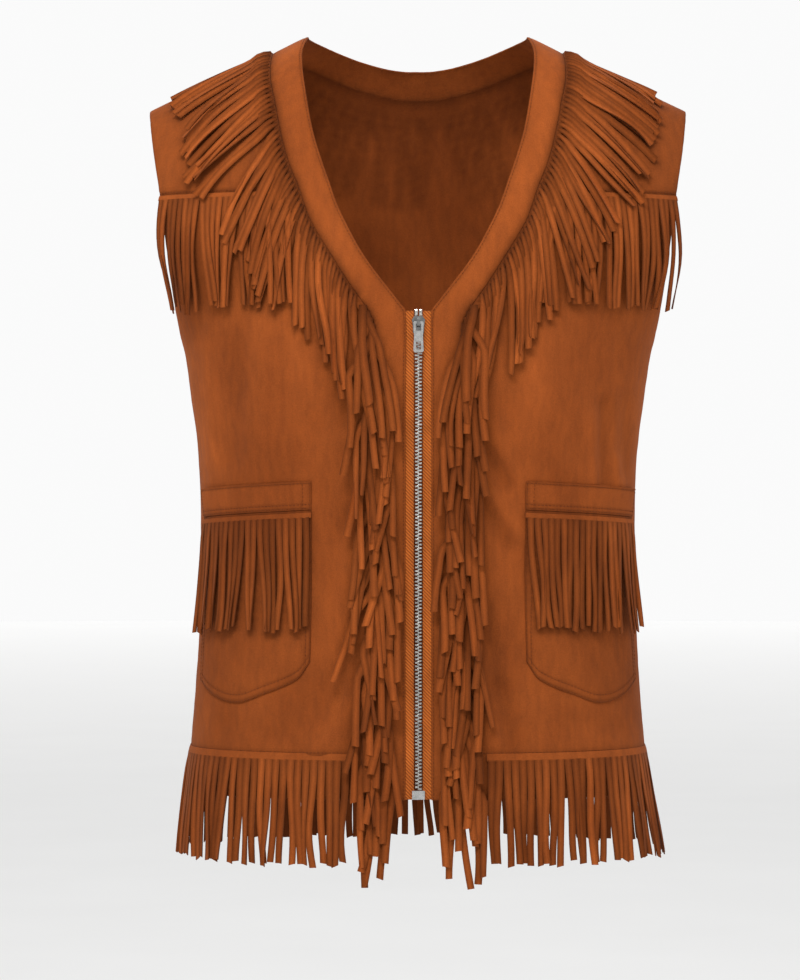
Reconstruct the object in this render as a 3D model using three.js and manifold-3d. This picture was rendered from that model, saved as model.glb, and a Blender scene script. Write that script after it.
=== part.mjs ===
// Western fringe vest of soft suede cloth, worn and zipped up, with nobody in it.
// Millimetres, +Z up, front towards -Y, the wearer's left at +X.
// The origin lies between the two high shoulder points, where the vest is held up.

import * as THREE from "three";
import { mergeVertices } from "three/addons/utils/BufferGeometryUtils.js";
import Module from "manifold-3d";

const FRONT = -1;
const BACK = 1;
const LEFT = 1;
const RIGHT = -1;

// Heights that the cut is marked by
const HEM_Z = -620.5;
const UNDERARM_Z = -255;
const YOKE_SEAM_Z = -136;
const HEM_SEAM_Z = -584;

// Cloth
const CLOTH = 1.6;
const FRINGE_CLOTH = 1.0;
const SEAM_GAP = 0.5;
const OVERLAY_GAP = 0.4;

// Form of the worn body: each level is a rounded oval with this exponent
const ROUND = 2.3;

// height, half width at the side seam, depth in front and behind the side seam
const BODY_LEVELS = [
  { z: -700, width: 202, front: 119, back: 124 },
  { z: -673, width: 199, front: 118, back: 123 },
  { z: -620, width: 191, front: 115, back: 120 },
  { z: -581, width: 186.7, front: 112, back: 116 },
  { z: -527, width: 182.2, front: 108, back: 110 },
  { z: -466, width: 179.2, front: 106, back: 106 },
  { z: -418, width: 178.8, front: 107, back: 106 },
  { z: -370, width: 179.4, front: 111, back: 109 },
  { z: -334, width: 182, front: 115, back: 114 },
  { z: -300, width: 186.5, front: 118, back: 119 },
  { z: -270, width: 190.7, front: 119.8, back: 122 },
  { z: -255, width: 194, front: 120, back: 122 },
  { z: -218, width: 208, front: 120, back: 122 },
  { z: -180, width: 226, front: 120, back: 122 },
  { z: -135, width: 235, front: 120, back: 122 },
  { z: -63, width: 243, front: 120, back: 122 },
  { z: 20, width: 243, front: 120, back: 122 },
];

// distance from the centre, height of the shoulder line above it
const SHOULDER_LINE = [
  { x: 0, z: 12 },
  { x: 43, z: 9 },
  { x: 86, z: 0 },
  { x: 119, z: -15.3 },
  { x: 221, z: -62.8 },
  { x: 250, z: -76.3 },
];
const SHOULDER_TIP_X = 221;

// height, distance of the armhole's edge from the centre
const ARMHOLE = [
  { z: -255, x: 194 },
  { z: -240, x: 196.5 },
  { z: -218, x: 199.6 },
  { z: -180, x: 204 },
  { z: -135, x: 210 },
  { z: -95, x: 216.5 },
  { z: -63, x: 221 },
];

// neck band: seam to the front panel, and the free inner edge level with it
const BAND = [
  { seamX: 119, seamZ: -15.3, edgeX: 90, edgeZ: -1.9 },
  { seamX: 120, seamZ: -31, edgeX: 94, edgeZ: -15 },
  { seamX: 119, seamZ: -45, edgeX: 94, edgeZ: -29 },
  { seamX: 115.5, seamZ: -61, edgeX: 91.5, edgeZ: -48 },
  { seamX: 109.5, seamZ: -91, edgeX: 85, edgeZ: -84.5 },
  { seamX: 103.5, seamZ: -113, edgeX: 79, edgeZ: -106 },
  { seamX: 95, seamZ: -135, edgeX: 71.8, edgeZ: -127 },
  { seamX: 86.5, seamZ: -159.5, edgeX: 64.5, edgeZ: -148 },
  { seamX: 76, seamZ: -178, edgeX: 55.5, edgeZ: -167 },
  { seamX: 65, seamZ: -195.5, edgeX: 46, edgeZ: -184.5 },
  { seamX: 54.5, seamZ: -212, edgeX: 35.5, edgeZ: -200 },
  { seamX: 44, seamZ: -226.5, edgeX: 25, edgeZ: -213.5 },
  { seamX: 36, seamZ: -241, edgeX: 14.5, edgeZ: -227 },
  { seamX: 35, seamZ: -256, edgeX: 10.3, edgeZ: -233 },
  { seamX: 35, seamZ: -290, edgeX: 10.3, edgeZ: -283 },
  { seamX: 35, seamZ: -330, edgeX: 10.3, edgeZ: -330 },
  { seamX: 35, seamZ: -620.5, edgeX: 10.3, edgeZ: -620.5 },
];

// Back neck: half width and depth of the free edge, and of the seam to the back
const BACK_NECK = { edgeX: 90, edgeY: 68, seamX: 119, seamY: 83 };

// Soft folds: side of the body, line from one end to the other, half width of the fold,
// and how far it stands out (or, below zero, sinks in)
const FOLDS = [
  { face: FRONT, x0: 66, z0: -318, x1: 71, z1: -436, width: 19, rise: -3.2 },
  { face: FRONT, x0: 71, z0: -470, x1: 66, z1: -545, width: 19, rise: -3.2 },
  { face: FRONT, x0: 96, z0: -262, x1: 108, z1: -340, width: 26, rise: 3 },
  { face: FRONT, x0: 150, z0: -268, x1: 146, z1: -335, width: 24, rise: -2.5 },
  { face: FRONT, x0: -70, z0: -330, x1: -67, z1: -545, width: 20, rise: -2.8 },
  { face: FRONT, x0: -120, z0: -262, x1: -130, z1: -335, width: 26, rise: 2.5 },
  { face: FRONT, x0: -160, z0: -270, x1: -152, z1: -335, width: 22, rise: -2 },
  { face: BACK, x0: -62, z0: -290, x1: -88, z1: -530, width: 30, rise: 4.5 },
  { face: BACK, x0: 10, z0: -320, x1: -14, z1: -535, width: 32, rise: -4.5 },
  { face: BACK, x0: 70, z0: -280, x1: 94, z1: -528, width: 30, rise: 4 },
  { face: BACK, x0: 128, z0: -300, x1: 138, z1: -520, width: 26, rise: -3.5 },
  { face: BACK, x0: -130, z0: -310, x1: -142, z1: -525, width: 26, rise: -3 },
  { face: BACK, x0: -40, z0: -215, x1: 60, z1: -235, width: 26, rise: -3 },
];

// Fringe: strand width, pitch of the strands along the seam, depth of the uncut strip, length
// of the free strands, how ragged their ends are, and the shares of the length at which a
// strand has a ring of points
const NECK_FRINGE = {
  strand: 6.5,
  pitch: 15,
  strip: 4,
  length: 84,
  ragged: 4,
  rings: [0.13, 0.42, 0.71, 1],
};
const BACK_FRINGE = {
  strand: 8,
  pitch: 19,
  strip: 4,
  length: 84,
  ragged: 3,
  rings: [0.13, 0.42, 0.71, 1],
};
const YOKE_FRINGE = {
  strand: 5.5,
  pitch: 10,
  strip: 4,
  length: 87,
  ragged: 2,
  rings: [0.2, 0.45, 0.72, 1],
};
const POCKET_FRINGE = {
  strand: 6.5,
  pitch: 11.8,
  strip: 4,
  length: 88,
  ragged: 2,
  rings: [0.2, 0.6, 1],
};
const HEM_FRINGE = {
  strand: 8,
  pitch: 14,
  strip: 9,
  length: 79,
  ragged: 1.5,
  rings: [0.33, 0.66, 1],
};
const NECK_FRINGE_END_Z = -219;
const YOKE_FRINGE_START_X = 112;
const HEM_FRINGE_START_X = 56;

// Fringe along the zip: the strip's middle line and ends, the lanes its strands fall into,
// the distances from the root of a strand's rings, and how far out it starts and rises per mm
const FRONT_FRINGE = {
  strand: 6.5,
  pitch: 14.5,
  strip: 6.5,
  length: 80,
  ragged: 2,
  rings: [4, 18, 49],
  stripX: 38.2,
  topZ: -227,
  bottomZ: -617,
  lanes: [35, 24, 46],
  height: 2.2,
  rise: 0.105,
};

// height of the root, how steeply the strand runs down from level, degrees
const NECK_STRAND_SLOPE = [
  { z: -240, slope: 90 },
  { z: -190, slope: 88 },
  { z: -160, slope: 82 },
  { z: -120, slope: 64 },
  { z: -95, slope: 47 },
  { z: -70, slope: 36 },
  { z: -45, slope: 28 },
  { z: -15, slope: 24 },
];

// Pocket: where it lies round the front (distance from the centre at the top edge),
// top and bottom of its welt band, and how much the top drops per mm outwards
const POCKET = { innerX: 85.5, outerX: 174, topZ: -367.6, weltZ: -390.7, drop: 0.07 };

// share of the pocket's width from its inner edge, height of the bottom edge
const POCKET_BOTTOM = [
  { share: 0, z: -512 },
  { share: 0.07, z: -526 },
  { share: 0.3, z: -539 },
  { share: 0.5, z: -546 },
  { share: 0.75, z: -541 },
  { share: 1, z: -529 },
];

// Zip: half widths of chain and tape, heights of its ends
const ZIP = { chain: 3.1, tapeIn: 3.4, tapeOut: 14, topZ: -233, bottomZ: -612.6 };
const SLIDER = { z: -244, length: 13.5, top: 10.4, bottom: 8.4, plate: 1.6, waist: 0.4 };
const SLIDER_NOSE = { length: 3, inset: 2 };
const WEDGE = { width: 2.6, length: 4.4, below: 3.2 };
const BRIDGE = { width: 2.6, inner: 4.4, height: 3.2, wall: 1.2, leg: 1.6 };
const PULL = { pivotZ: -242.5, width: 8.2, length: 24.5, thick: 1.2, bar: 2, eye: 5.5 };
const PULL_EDGE = { corner: 1, waist: 0.6, side: 2 };
const PULL_WINDOW = { width: 3.6, height: 6, foot: 2.2 };
const ZIP_BOX = { width: 10, thick: 2.4, height: 7 };

// Heights above the cloth's outer face at which the parts on it lie
const TAPE_HEIGHT = [-3.0, -2.0];
const CHAIN_HEIGHT = [-3.2, -1.0];
const FRONT_PLATE_HEIGHT = -0.7;
const BACK_PLATE_HEIGHT = -5.1;
const ZIP_BOX_HEIGHT = -0.3;
const POCKET_BAG_TOP = 1.8;
const POCKET_HEIGHT = [0.6, POCKET_BAG_TOP];
const POCKET_BAND_HEIGHT = [0.6, 2.2];

const COLOURS = { suede: 0xa2532a, fringe: 0x9a4c25, tape: 0xc06a30, metal: 0xc9c9c6 };

// A smooth line through a table's rows, from one named column to another
function profile(rows, from, to) {
  const sorted = [...rows].sort((p, q) => p[from] - q[from]);
  const last = sorted.length - 1;
  const slopes = sorted.map((row, i) => {
    const before = sorted[Math.max(i - 1, 0)];
    const after = sorted[Math.min(i + 1, last)];
    return (after[to] - before[to]) / (after[from] - before[from]);
  });
  return (value) => {
    const at = THREE.MathUtils.clamp(value, sorted[0][from], sorted[last][from]);
    const next = sorted.findIndex((row) => row[from] >= at);
    const i = Math.max(next - 1, 0);
    const span = sorted[i + 1][from] - sorted[i][from];
    const t = (at - sorted[i][from]) / span;
    const rise = sorted[i + 1][to] - sorted[i][to];
    const first = slopes[i] * span - rise;
    const second = rise - slopes[i + 1] * span;
    return sorted[i][to] + rise * t + t * (1 - t) * (first * (1 - t) + second * t);
  };
}

const lerp = THREE.MathUtils.lerp;
const halfWidth = profile(BODY_LEVELS, "z", "width");
const frontDepth = profile(BODY_LEVELS, "z", "front");
const backDepth = profile(BODY_LEVELS, "z", "back");
const shoulderLine = profile(SHOULDER_LINE, "x", "z");
const armholeX = profile(ARMHOLE, "z", "x");
const seamX = profile(BAND, "seamZ", "seamX");
const edgeX = profile(BAND, "edgeZ", "edgeX");
const edgeZLevelWith = profile(BAND, "seamZ", "edgeZ");
const strandSlope = profile(NECK_STRAND_SLOPE, "z", "slope");
const pocketBottom = profile(POCKET_BOTTOM, "share", "z");

function depthAt(z, face) {
  return face === FRONT ? frontDepth(z) : backDepth(z);
}

function spread(from, to, steps) {
  return Array.from({ length: steps + 1 }, (_, i) => lerp(from, to, i / steps));
}

// How far a point is on the way from the underarm to the shoulder line, 0 to 1
function climb(x, z) {
  return Math.max((z - UNDERARM_Z) / (shoulderLine(Math.abs(x)) - UNDERARM_Z), 0);
}

// Above zero inside the body's form and below zero outside it
function insideness(point) {
  const across = 1 - Math.abs(point.x / halfWidth(point.z)) ** ROUND;
  const up = 1 - climb(point.x, point.z) ** ROUND;
  const depth = depthAt(point.z, point.y < 0 ? FRONT : BACK);
  return across * up - Math.abs(point.y / depth) ** ROUND;
}

function slopeOf(point) {
  const step = 0.05;
  const along = (axis) => {
    const ahead = point.clone();
    const behind = point.clone();
    ahead[axis] += step;
    behind[axis] -= step;
    return (insideness(ahead) - insideness(behind)) / (2 * step);
  };
  return new THREE.Vector3(along("x"), along("y"), along("z"));
}

function outward(point) {
  return slopeOf(point).negate().normalize();
}

// The nearest point of the form's surface
function settle(point) {
  const settled = point.clone();
  for (let round = 0; round < 5; round++) {
    const slope = slopeOf(settled);
    settled.addScaledVector(slope, -insideness(settled) / slope.lengthSq());
  }
  return settled;
}

// A point of the form by its angle round the oval: 0 at the centre, a right angle at the side
function levelPoint(angle, z, face) {
  const sign = Math.sign(angle);
  const x = sign * halfWidth(z) * Math.abs(Math.sin(angle)) ** (2 / ROUND);
  const up = (1 - Math.min(climb(x, z), 1) ** ROUND) ** (1 / ROUND);
  const y = face * depthAt(z, face) * Math.abs(Math.cos(angle)) ** (2 / ROUND) * up;
  return new THREE.Vector3(x, y, z);
}

function angleOf(x, z) {
  const share = Math.min(Math.abs(x) / halfWidth(z), 1);
  return Math.sign(x) * Math.asin(share ** (ROUND / 2));
}

// The angle that stops half a seam gap short of the side seam or the shoulder seam
function seamAngle(depth) {
  return Math.acos((SEAM_GAP / 2 / depth) ** (ROUND / 2));
}

// A point of the form by its angle up to the shoulder line: 0 at the underarm's level
function heightAt(x, angle) {
  const share = Math.sin(angle) ** (2 / ROUND);
  return UNDERARM_Z + share * (shoulderLine(Math.abs(x)) - UNDERARM_Z);
}

function shoulderPoint(x, angle, face) {
  const z = heightAt(x, angle);
  const across = (1 - Math.abs(x / halfWidth(z)) ** ROUND) ** (1 / ROUND);
  const y = face * depthAt(z, face) * Math.cos(angle) ** (2 / ROUND) * across;
  return new THREE.Vector3(x, y, z);
}

function shoulderAngleOf(x, z) {
  return Math.asin(Math.min(climb(x, z), 1) ** (ROUND / 2));
}

const SHOULDER_SEAM_ANGLE = seamAngle(BODY_LEVELS.at(-1).front);

// A point of the form by its place seen from above
function topPoint(x, y, face) {
  const across = 1 - Math.abs(x / halfWidth(0)) ** ROUND;
  const share = 1 - Math.abs(y / depthAt(0, face)) ** ROUND / across;
  const angle = Math.asin(Math.sqrt(Math.max(share, 0)));
  return shoulderPoint(x, Math.min(angle, SHOULDER_SEAM_ANGLE), face);
}

// How far the folds move the cloth at a point
function foldAt(point) {
  const face = point.y < 0 ? FRONT : BACK;
  let sum = 0;
  for (const fold of FOLDS) {
    if (fold.face !== face) continue;
    const runX = fold.x1 - fold.x0;
    const runZ = fold.z1 - fold.z0;
    const length = Math.hypot(runX, runZ);
    const along = ((point.x - fold.x0) * runX + (point.z - fold.z0) * runZ) / length;
    const beyond = Math.max(-along, along - length, 0);
    const aside = ((point.x - fold.x0) * runZ - (point.z - fold.z0) * runX) / length;
    sum += fold.rise * Math.exp(-(aside ** 2 + beyond ** 2) / fold.width ** 2);
  }
  return sum;
}

function raise(point, height) {
  return point.clone().addScaledVector(outward(point), height + foldAt(point));
}

// A closed body from corner points and its four-sided faces
function closedBody(corners, faces) {
  const triangles = [];
  for (const [a, b, c, d] of faces) triangles.push([a, b, c], [a, c, d]);
  let volume = 0;
  for (const [a, b, c] of triangles) {
    volume += corners[a].dot(new THREE.Vector3().crossVectors(corners[b], corners[c]));
  }
  const order = volume < 0 ? [0, 2, 1] : [0, 1, 2];
  const geometry = new THREE.BufferGeometry();
  const positions = corners.flatMap((corner) => corner.toArray());
  geometry.setAttribute("position", new THREE.Float32BufferAttribute(positions, 3));
  geometry.setIndex(triangles.flatMap((triangle) => order.map((i) => triangle[i])));
  geometry.computeVertexNormals();
  return geometry;
}

// A wall of cloth over a grid of surface points, between two heights above the surface
function wall(grid, bottom, top) {
  const columns = grid.length;
  const rows = grid[0].length;
  const corners = [];
  for (const height of [top, bottom]) {
    for (const column of grid) corners.push(...column.map((point) => raise(point, height)));
  }
  const at = (layer, i, j) => (layer * columns + i) * rows + j;
  const faces = [];
  for (let i = 0; i < columns - 1; i++) {
    for (let j = 0; j < rows - 1; j++) {
      faces.push([at(0, i, j), at(0, i + 1, j), at(0, i + 1, j + 1), at(0, i, j + 1)]);
      faces.push([at(1, i, j), at(1, i, j + 1), at(1, i + 1, j + 1), at(1, i + 1, j)]);
    }
    const end = rows - 1;
    faces.push([at(0, i, 0), at(1, i, 0), at(1, i + 1, 0), at(0, i + 1, 0)]);
    faces.push([at(0, i + 1, end), at(1, i + 1, end), at(1, i, end), at(0, i, end)]);
  }
  for (let j = 0; j < rows - 1; j++) {
    const end = columns - 1;
    faces.push([at(0, 0, j + 1), at(1, 0, j + 1), at(1, 0, j), at(0, 0, j)]);
    faces.push([at(0, end, j), at(1, end, j), at(1, end, j + 1), at(0, end, j + 1)]);
  }
  return closedBody(corners, faces);
}

// A strip with strands: each column of the strip is a ring of 4 points, and strand k leaves
// the side between the first two points, from column 2k + 1 to column 2k + 2
function fringe(columns, strands) {
  const corners = columns.flat();
  const faces = [];
  const last = columns.length - 1;
  for (let c = 0; c < last; c++) {
    for (let side = 0; side < 4; side++) {
      if (side === 0 && c % 2 === 1) continue;
      const next = (side + 1) % 4;
      faces.push([4 * c + side, 4 * c + 4 + side, 4 * c + 4 + next, 4 * c + next]);
    }
  }
  faces.push([0, 1, 2, 3]);
  faces.push([4 * last + 3, 4 * last + 2, 4 * last + 1, 4 * last]);
  strands.forEach((rings, k) => {
    const c = 4 * (2 * k + 1);
    let ring = [c, c + 4, c + 5, c + 1];
    for (const points of rings) {
      const start = corners.length;
      corners.push(...points);
      const next = [start, start + 1, start + 2, start + 3];
      for (let side = 0; side < 4; side++) {
        const other = (side + 1) % 4;
        faces.push([ring[side], ring[other], next[other], next[side]]);
      }
      ring = next;
    }
    faces.push(ring);
  });
  return closedBody(corners, faces);
}

// The path of a strand over the body: stations of distance, point and outward direction
function strandPath(start, heading, stations) {
  const path = [];
  let point = settle(start);
  let distance = 0;
  for (const station of stations) {
    const steps = Math.max(Math.round((station - distance) / 8), 1);
    const step = (station - distance) / steps;
    for (let i = 0; i < steps; i++) {
      const direction = heading(distance).projectOnPlane(outward(point)).normalize();
      point = settle(point.clone().addScaledVector(direction, step));
      distance += step;
    }
    const direction = heading(distance).projectOnPlane(outward(point)).normalize();
    path.push({ distance, point: point.clone(), direction, normal: outward(point) });
  }
  return path;
}

// Rings of a flat strand along its path; towards is the side that comes first
function strandRings(path, width, heightOf, towards) {
  return path.map(({ distance, point, direction, normal }) => {
    const side = new THREE.Vector3().crossVectors(direction, normal).normalize();
    if (side.dot(towards) < 0) side.negate();
    const height = heightOf(distance) + foldAt(point);
    const corner = (across, out) =>
      point
        .clone()
        .addScaledVector(side, (across * width) / 2)
        .addScaledVector(normal, height + (out * FRINGE_CLOTH) / 2);
    return [corner(1, 1), corner(-1, 1), corner(-1, -1), corner(1, -1)];
  });
}

// Small unevenness of strand k, between -1 and 1
function uneven(k, seed) {
  return Math.sin(k * 2.4 + seed) * Math.cos(k * 0.9 + 2 * seed);
}

// A fringe whose strip runs along a line, with strands that leave its lower edge.
// downAt gives the way across the strip, headingAt the way a strand runs, and riseAt how far
// it rises off the cloth per mm; seed sets how ragged the ends are.
function edgeFringe({ line, size, base, seed, downAt, headingAt, first = 0, riseAt }) {
  const total = line.getLength();
  const count = Math.floor((total - size.strand) / size.pitch) + 1;
  const margin = (total - (count - 1) * size.pitch) / 2;
  const pointAt = (distance) => settle(line.getPointAt(distance / total));
  const columnAt = (distance) => {
    const upper = pointAt(distance);
    const lower = settle(upper.clone().addScaledVector(downAt(upper), size.strip));
    const top = base + FRINGE_CLOTH;
    return [raise(lower, top), raise(lower, base), raise(upper, base), raise(upper, top)];
  };
  const columns = [columnAt(0)];
  const strands = [];
  for (let k = 0; k < count; k++) {
    const middle = margin + k * size.pitch;
    const before = middle - size.strand / 2;
    const after = middle + size.strand / 2;
    columns.push(columnAt(before), columnAt(after));
    const root = pointAt(middle);
    const start = settle(root.clone().addScaledVector(downAt(root), size.strip));
    const stations = size.rings.map((share) => share * (size.length + size.ragged * uneven(k, seed)));
    const path = strandPath(start, headingAt(root, k, count), stations);
    const towards = pointAt(before).sub(pointAt(after));
    const rise = riseAt(k, count);
    const height = (distance) => base + FRINGE_CLOTH / 2 + first + rise * distance;
    strands.push(strandRings(path, size.strand, height, towards));
  }
  columns.push(columnAt(total));
  return fringe(columns, strands);
}

// Rows of the front panel, and of the yoke above it, that the neck band shares
const FRONT_ROWS = [
  ...spread(HEM_Z, -290, 8),
  -272,
  ...spread(0, 1, 7).map((up) => lerp(UNDERARM_Z, YOKE_SEAM_Z - SEAM_GAP / 2, up ** 1.5)),
];
const YOKE_STEPS = 5;

function frontPanel(side) {
  const columns = 14;
  return spread(0, 1, columns).map((share) =>
    FRONT_ROWS.map((z) => {
      const inner = angleOf(seamX(z) + SEAM_GAP / 2, z);
      const sideSeam = seamAngle(depthAt(z, FRONT));
      const outer = z > UNDERARM_Z ? angleOf(armholeX(z), z) : sideSeam;
      return levelPoint(side * lerp(inner, Math.min(outer, sideSeam), share), z, FRONT);
    }),
  );
}

// A point on the shoulder between two edges, by shares across and up from a lower edge
function betweenEdges(innerAt, outerAt, lowerZ, across, up) {
  let z = lerp(lowerZ, 0, up);
  let x = 0;
  let angle = 0;
  for (let round = 0; round < 12; round++) {
    x = lerp(innerAt(z), outerAt(z), across);
    angle = lerp(shoulderAngleOf(x, lowerZ), SHOULDER_SEAM_ANGLE, up);
    z = heightAt(x, angle);
  }
  return { x, angle };
}

function yokePanel(side) {
  const columns = 5;
  const lowerZ = YOKE_SEAM_Z + SEAM_GAP / 2;
  const innerAt = (z) => seamX(z) + SEAM_GAP / 2;
  return spread(0, 1, columns).map((across) =>
    spread(0, 1, YOKE_STEPS).map((up) => {
      const { x, angle } = betweenEdges(innerAt, armholeX, lowerZ, across, up);
      return shoulderPoint(side * x, angle, FRONT);
    }),
  );
}

function frontBand(side) {
  const columns = 2;
  const seamAt = (z) => seamX(z) - SEAM_GAP / 2;
  const lowerSeamZ = YOKE_SEAM_Z + SEAM_GAP / 2;
  const lowerEdgeZ = edgeZLevelWith(lowerSeamZ);
  return spread(0, 1, columns).map((share) => {
    const lower = FRONT_ROWS.map((z) => {
      const edgeZ = edgeZLevelWith(z);
      const x = lerp(edgeX(edgeZ), seamAt(z), share);
      const height = lerp(edgeZ, z, share);
      return levelPoint(side * angleOf(x, height), height, FRONT);
    });
    const upper = spread(0, 1, YOKE_STEPS).map((up) => {
      const seam = betweenEdges(seamAt, seamAt, lowerSeamZ, 0, up);
      const edge = betweenEdges(edgeX, edgeX, lowerEdgeZ, 0, up);
      const x = lerp(edge.x, seam.x, share);
      return shoulderPoint(side * x, lerp(edge.angle, seam.angle, share), FRONT);
    });
    return [...lower, ...upper.slice(1)];
  });
}

// The top edge of the back panel, from one armhole along both shoulders to the other,
// as place across and angle up to the shoulder line
function backTopEdge() {
  const shoulder = spread(SHOULDER_TIP_X, BACK_NECK.seamX + SEAM_GAP, 4);
  const left = shoulder.map((x) => ({ x, angle: SHOULDER_SEAM_ANGLE }));
  const neck = spread(Math.PI / 2, -Math.PI / 2, 10).slice(1, -1).map((turn) => {
    const x = (BACK_NECK.seamX + SEAM_GAP / 2) * Math.sin(turn);
    const point = topPoint(x, (BACK_NECK.seamY + SEAM_GAP / 2) * Math.cos(turn), BACK);
    return { x, angle: shoulderAngleOf(x, point.z) };
  });
  const right = left.map(({ x, angle }) => ({ x: -x, angle })).reverse();
  return [...left, ...neck, ...right];
}

function backPanel() {
  const top = backTopEdge();
  const upperRows = spread(0, 1, 9).slice(1).map((share) => share ** 1.6);
  return top.map((end, i) => {
    const share = 1 - (2 * i) / (top.length - 1);
    const lower = spread(HEM_Z, UNDERARM_Z, 10).map((z) =>
      levelPoint(share * seamAngle(depthAt(z, BACK)), z, BACK),
    );
    const atUnderarm = lower.at(-1).x / armholeX(UNDERARM_Z);
    const atTop = end.x / armholeX(heightAt(end.x, end.angle));
    const upper = upperRows.map((up) => {
      const angle = up * end.angle;
      let z = lerp(UNDERARM_Z, 0, up);
      let x = 0;
      for (let round = 0; round < 12; round++) {
        x = lerp(atUnderarm, atTop, up) * armholeX(z);
        z = heightAt(x, angle);
      }
      return shoulderPoint(x, angle, BACK);
    });
    return [...lower, ...upper];
  });
}

function backBand() {
  const { edgeX: innerX, edgeY, seamX: outerX, seamY } = BACK_NECK;
  return spread(0, 1, 2).map((share) =>
    spread(Math.PI / 2, -Math.PI / 2, 10).map((turn) => {
      const x = lerp(innerX, outerX - SEAM_GAP / 2, share) * Math.sin(turn);
      const y = lerp(edgeY, seamY - SEAM_GAP / 2, share) * Math.cos(turn);
      return topPoint(x, y, BACK);
    }),
  );
}

// Fringe along the V neck's band, down to where the front's own fringe starts
function neckFringe(side) {
  const shoulderAngle = shoulderAngleOf(seamX(YOKE_SEAM_Z), YOKE_SEAM_Z);
  const upper = spread(SHOULDER_SEAM_ANGLE, shoulderAngle, 12).map((angle) => {
    const { x } = betweenEdges(seamX, seamX, YOKE_SEAM_Z, 0, shareUp(angle, shoulderAngle));
    return shoulderPoint(side * x, angle, FRONT);
  });
  const lower = spread(YOKE_SEAM_Z, NECK_FRINGE_END_Z, 8)
    .slice(1)
    .map((z) => levelPoint(side * angleOf(seamX(z), z), z, FRONT));
  const line = new THREE.CatmullRomCurve3([...upper, ...lower]);
  return edgeFringe({
    line,
    size: NECK_FRINGE,
    base: OVERLAY_GAP,
    seed: 1,
    downAt: (point) => acrossSeam(line, point, side),
    headingAt: (root) => (distance) => {
      const slope = THREE.MathUtils.degToRad(strandSlope(root.z) + distance * 0.06);
      return new THREE.Vector3(side * Math.cos(slope), -0.2, -Math.sin(slope));
    },
    first: 0.5,
    riseAt: () => 0.06,
  });
}

function shareUp(angle, from) {
  return (angle - from) / (SHOULDER_SEAM_ANGLE - from);
}

// The way from a seam outwards over the cloth, square to the seam
function acrossSeam(line, point, side) {
  let nearest = 0;
  for (const share of spread(0, 1, 60)) {
    if (line.getPoint(share).distanceTo(point) < line.getPoint(nearest).distanceTo(point)) {
      nearest = share;
    }
  }
  const across = new THREE.Vector3().crossVectors(line.getTangent(nearest), outward(point));
  return across.x * side < 0 ? across.negate() : across;
}

// Fringe round the back neck, fanned out towards the shoulders
function backNeckFringe() {
  const turns = spread(1.5, -1.5, 24);
  const seam = turns.map((turn) => {
    const x = (BACK_NECK.seamX + 1) * Math.sin(turn);
    return topPoint(x, (BACK_NECK.seamY + 1) * Math.cos(turn), BACK);
  });
  const downAt = (point) => {
    const turn = Math.atan2(point.x / BACK_NECK.seamX, point.y / BACK_NECK.seamY);
    const fall = -Math.cos(turn) - 0.45 * Math.abs(Math.sin(turn));
    const way = new THREE.Vector3(Math.sin(turn), 0, fall);
    return way.projectOnPlane(outward(point)).normalize();
  };
  return edgeFringe({
    line: new THREE.CatmullRomCurve3(seam),
    size: BACK_FRINGE,
    base: OVERLAY_GAP,
    seed: 2,
    downAt,
    headingAt: (root) => () => downAt(root),
    first: 0.5,
    riseAt: () => 0.02,
  });
}

const DOWN = new THREE.Vector3(0, 0, -1);

function straightDown(point) {
  return DOWN.clone().projectOnPlane(outward(point)).normalize();
}

// A line round the body at one height, between two angles
function levelLine(fromAngle, toAngle, z, face) {
  return new THREE.CatmullRomCurve3(
    spread(fromAngle, toAngle, 30).map((angle) => levelPoint(angle, z, face)),
  );
}

function yokeFringe(side) {
  const z = YOKE_SEAM_Z - 1;
  const inner = angleOf(YOKE_FRINGE_START_X, z);
  const outer = angleOf(armholeX(z) - 0.5, z);
  return edgeFringe({
    line: levelLine(side * inner, side * outer, z, FRONT),
    size: YOKE_FRINGE,
    base: OVERLAY_GAP,
    seed: 3,
    downAt: straightDown,
    headingAt: (root, k, count) => () => new THREE.Vector3(side * 0.03 * (k / count), 0, -1),
    riseAt: (k, count) => 0.015 + 0.1 * (k / count) ** 4,
  });
}

function hemFringe(face, fromAngle, toAngle) {
  return edgeFringe({
    line: levelLine(fromAngle, toAngle, HEM_SEAM_Z, face),
    size: HEM_FRINGE,
    base: OVERLAY_GAP,
    seed: 5,
    downAt: straightDown,
    headingAt: (root, k) => () => new THREE.Vector3(0.03 * uneven(k, 4), 0, -1),
    riseAt: (k) => 0.02 + 0.015 * uneven(k, 6),
  });
}

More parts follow.
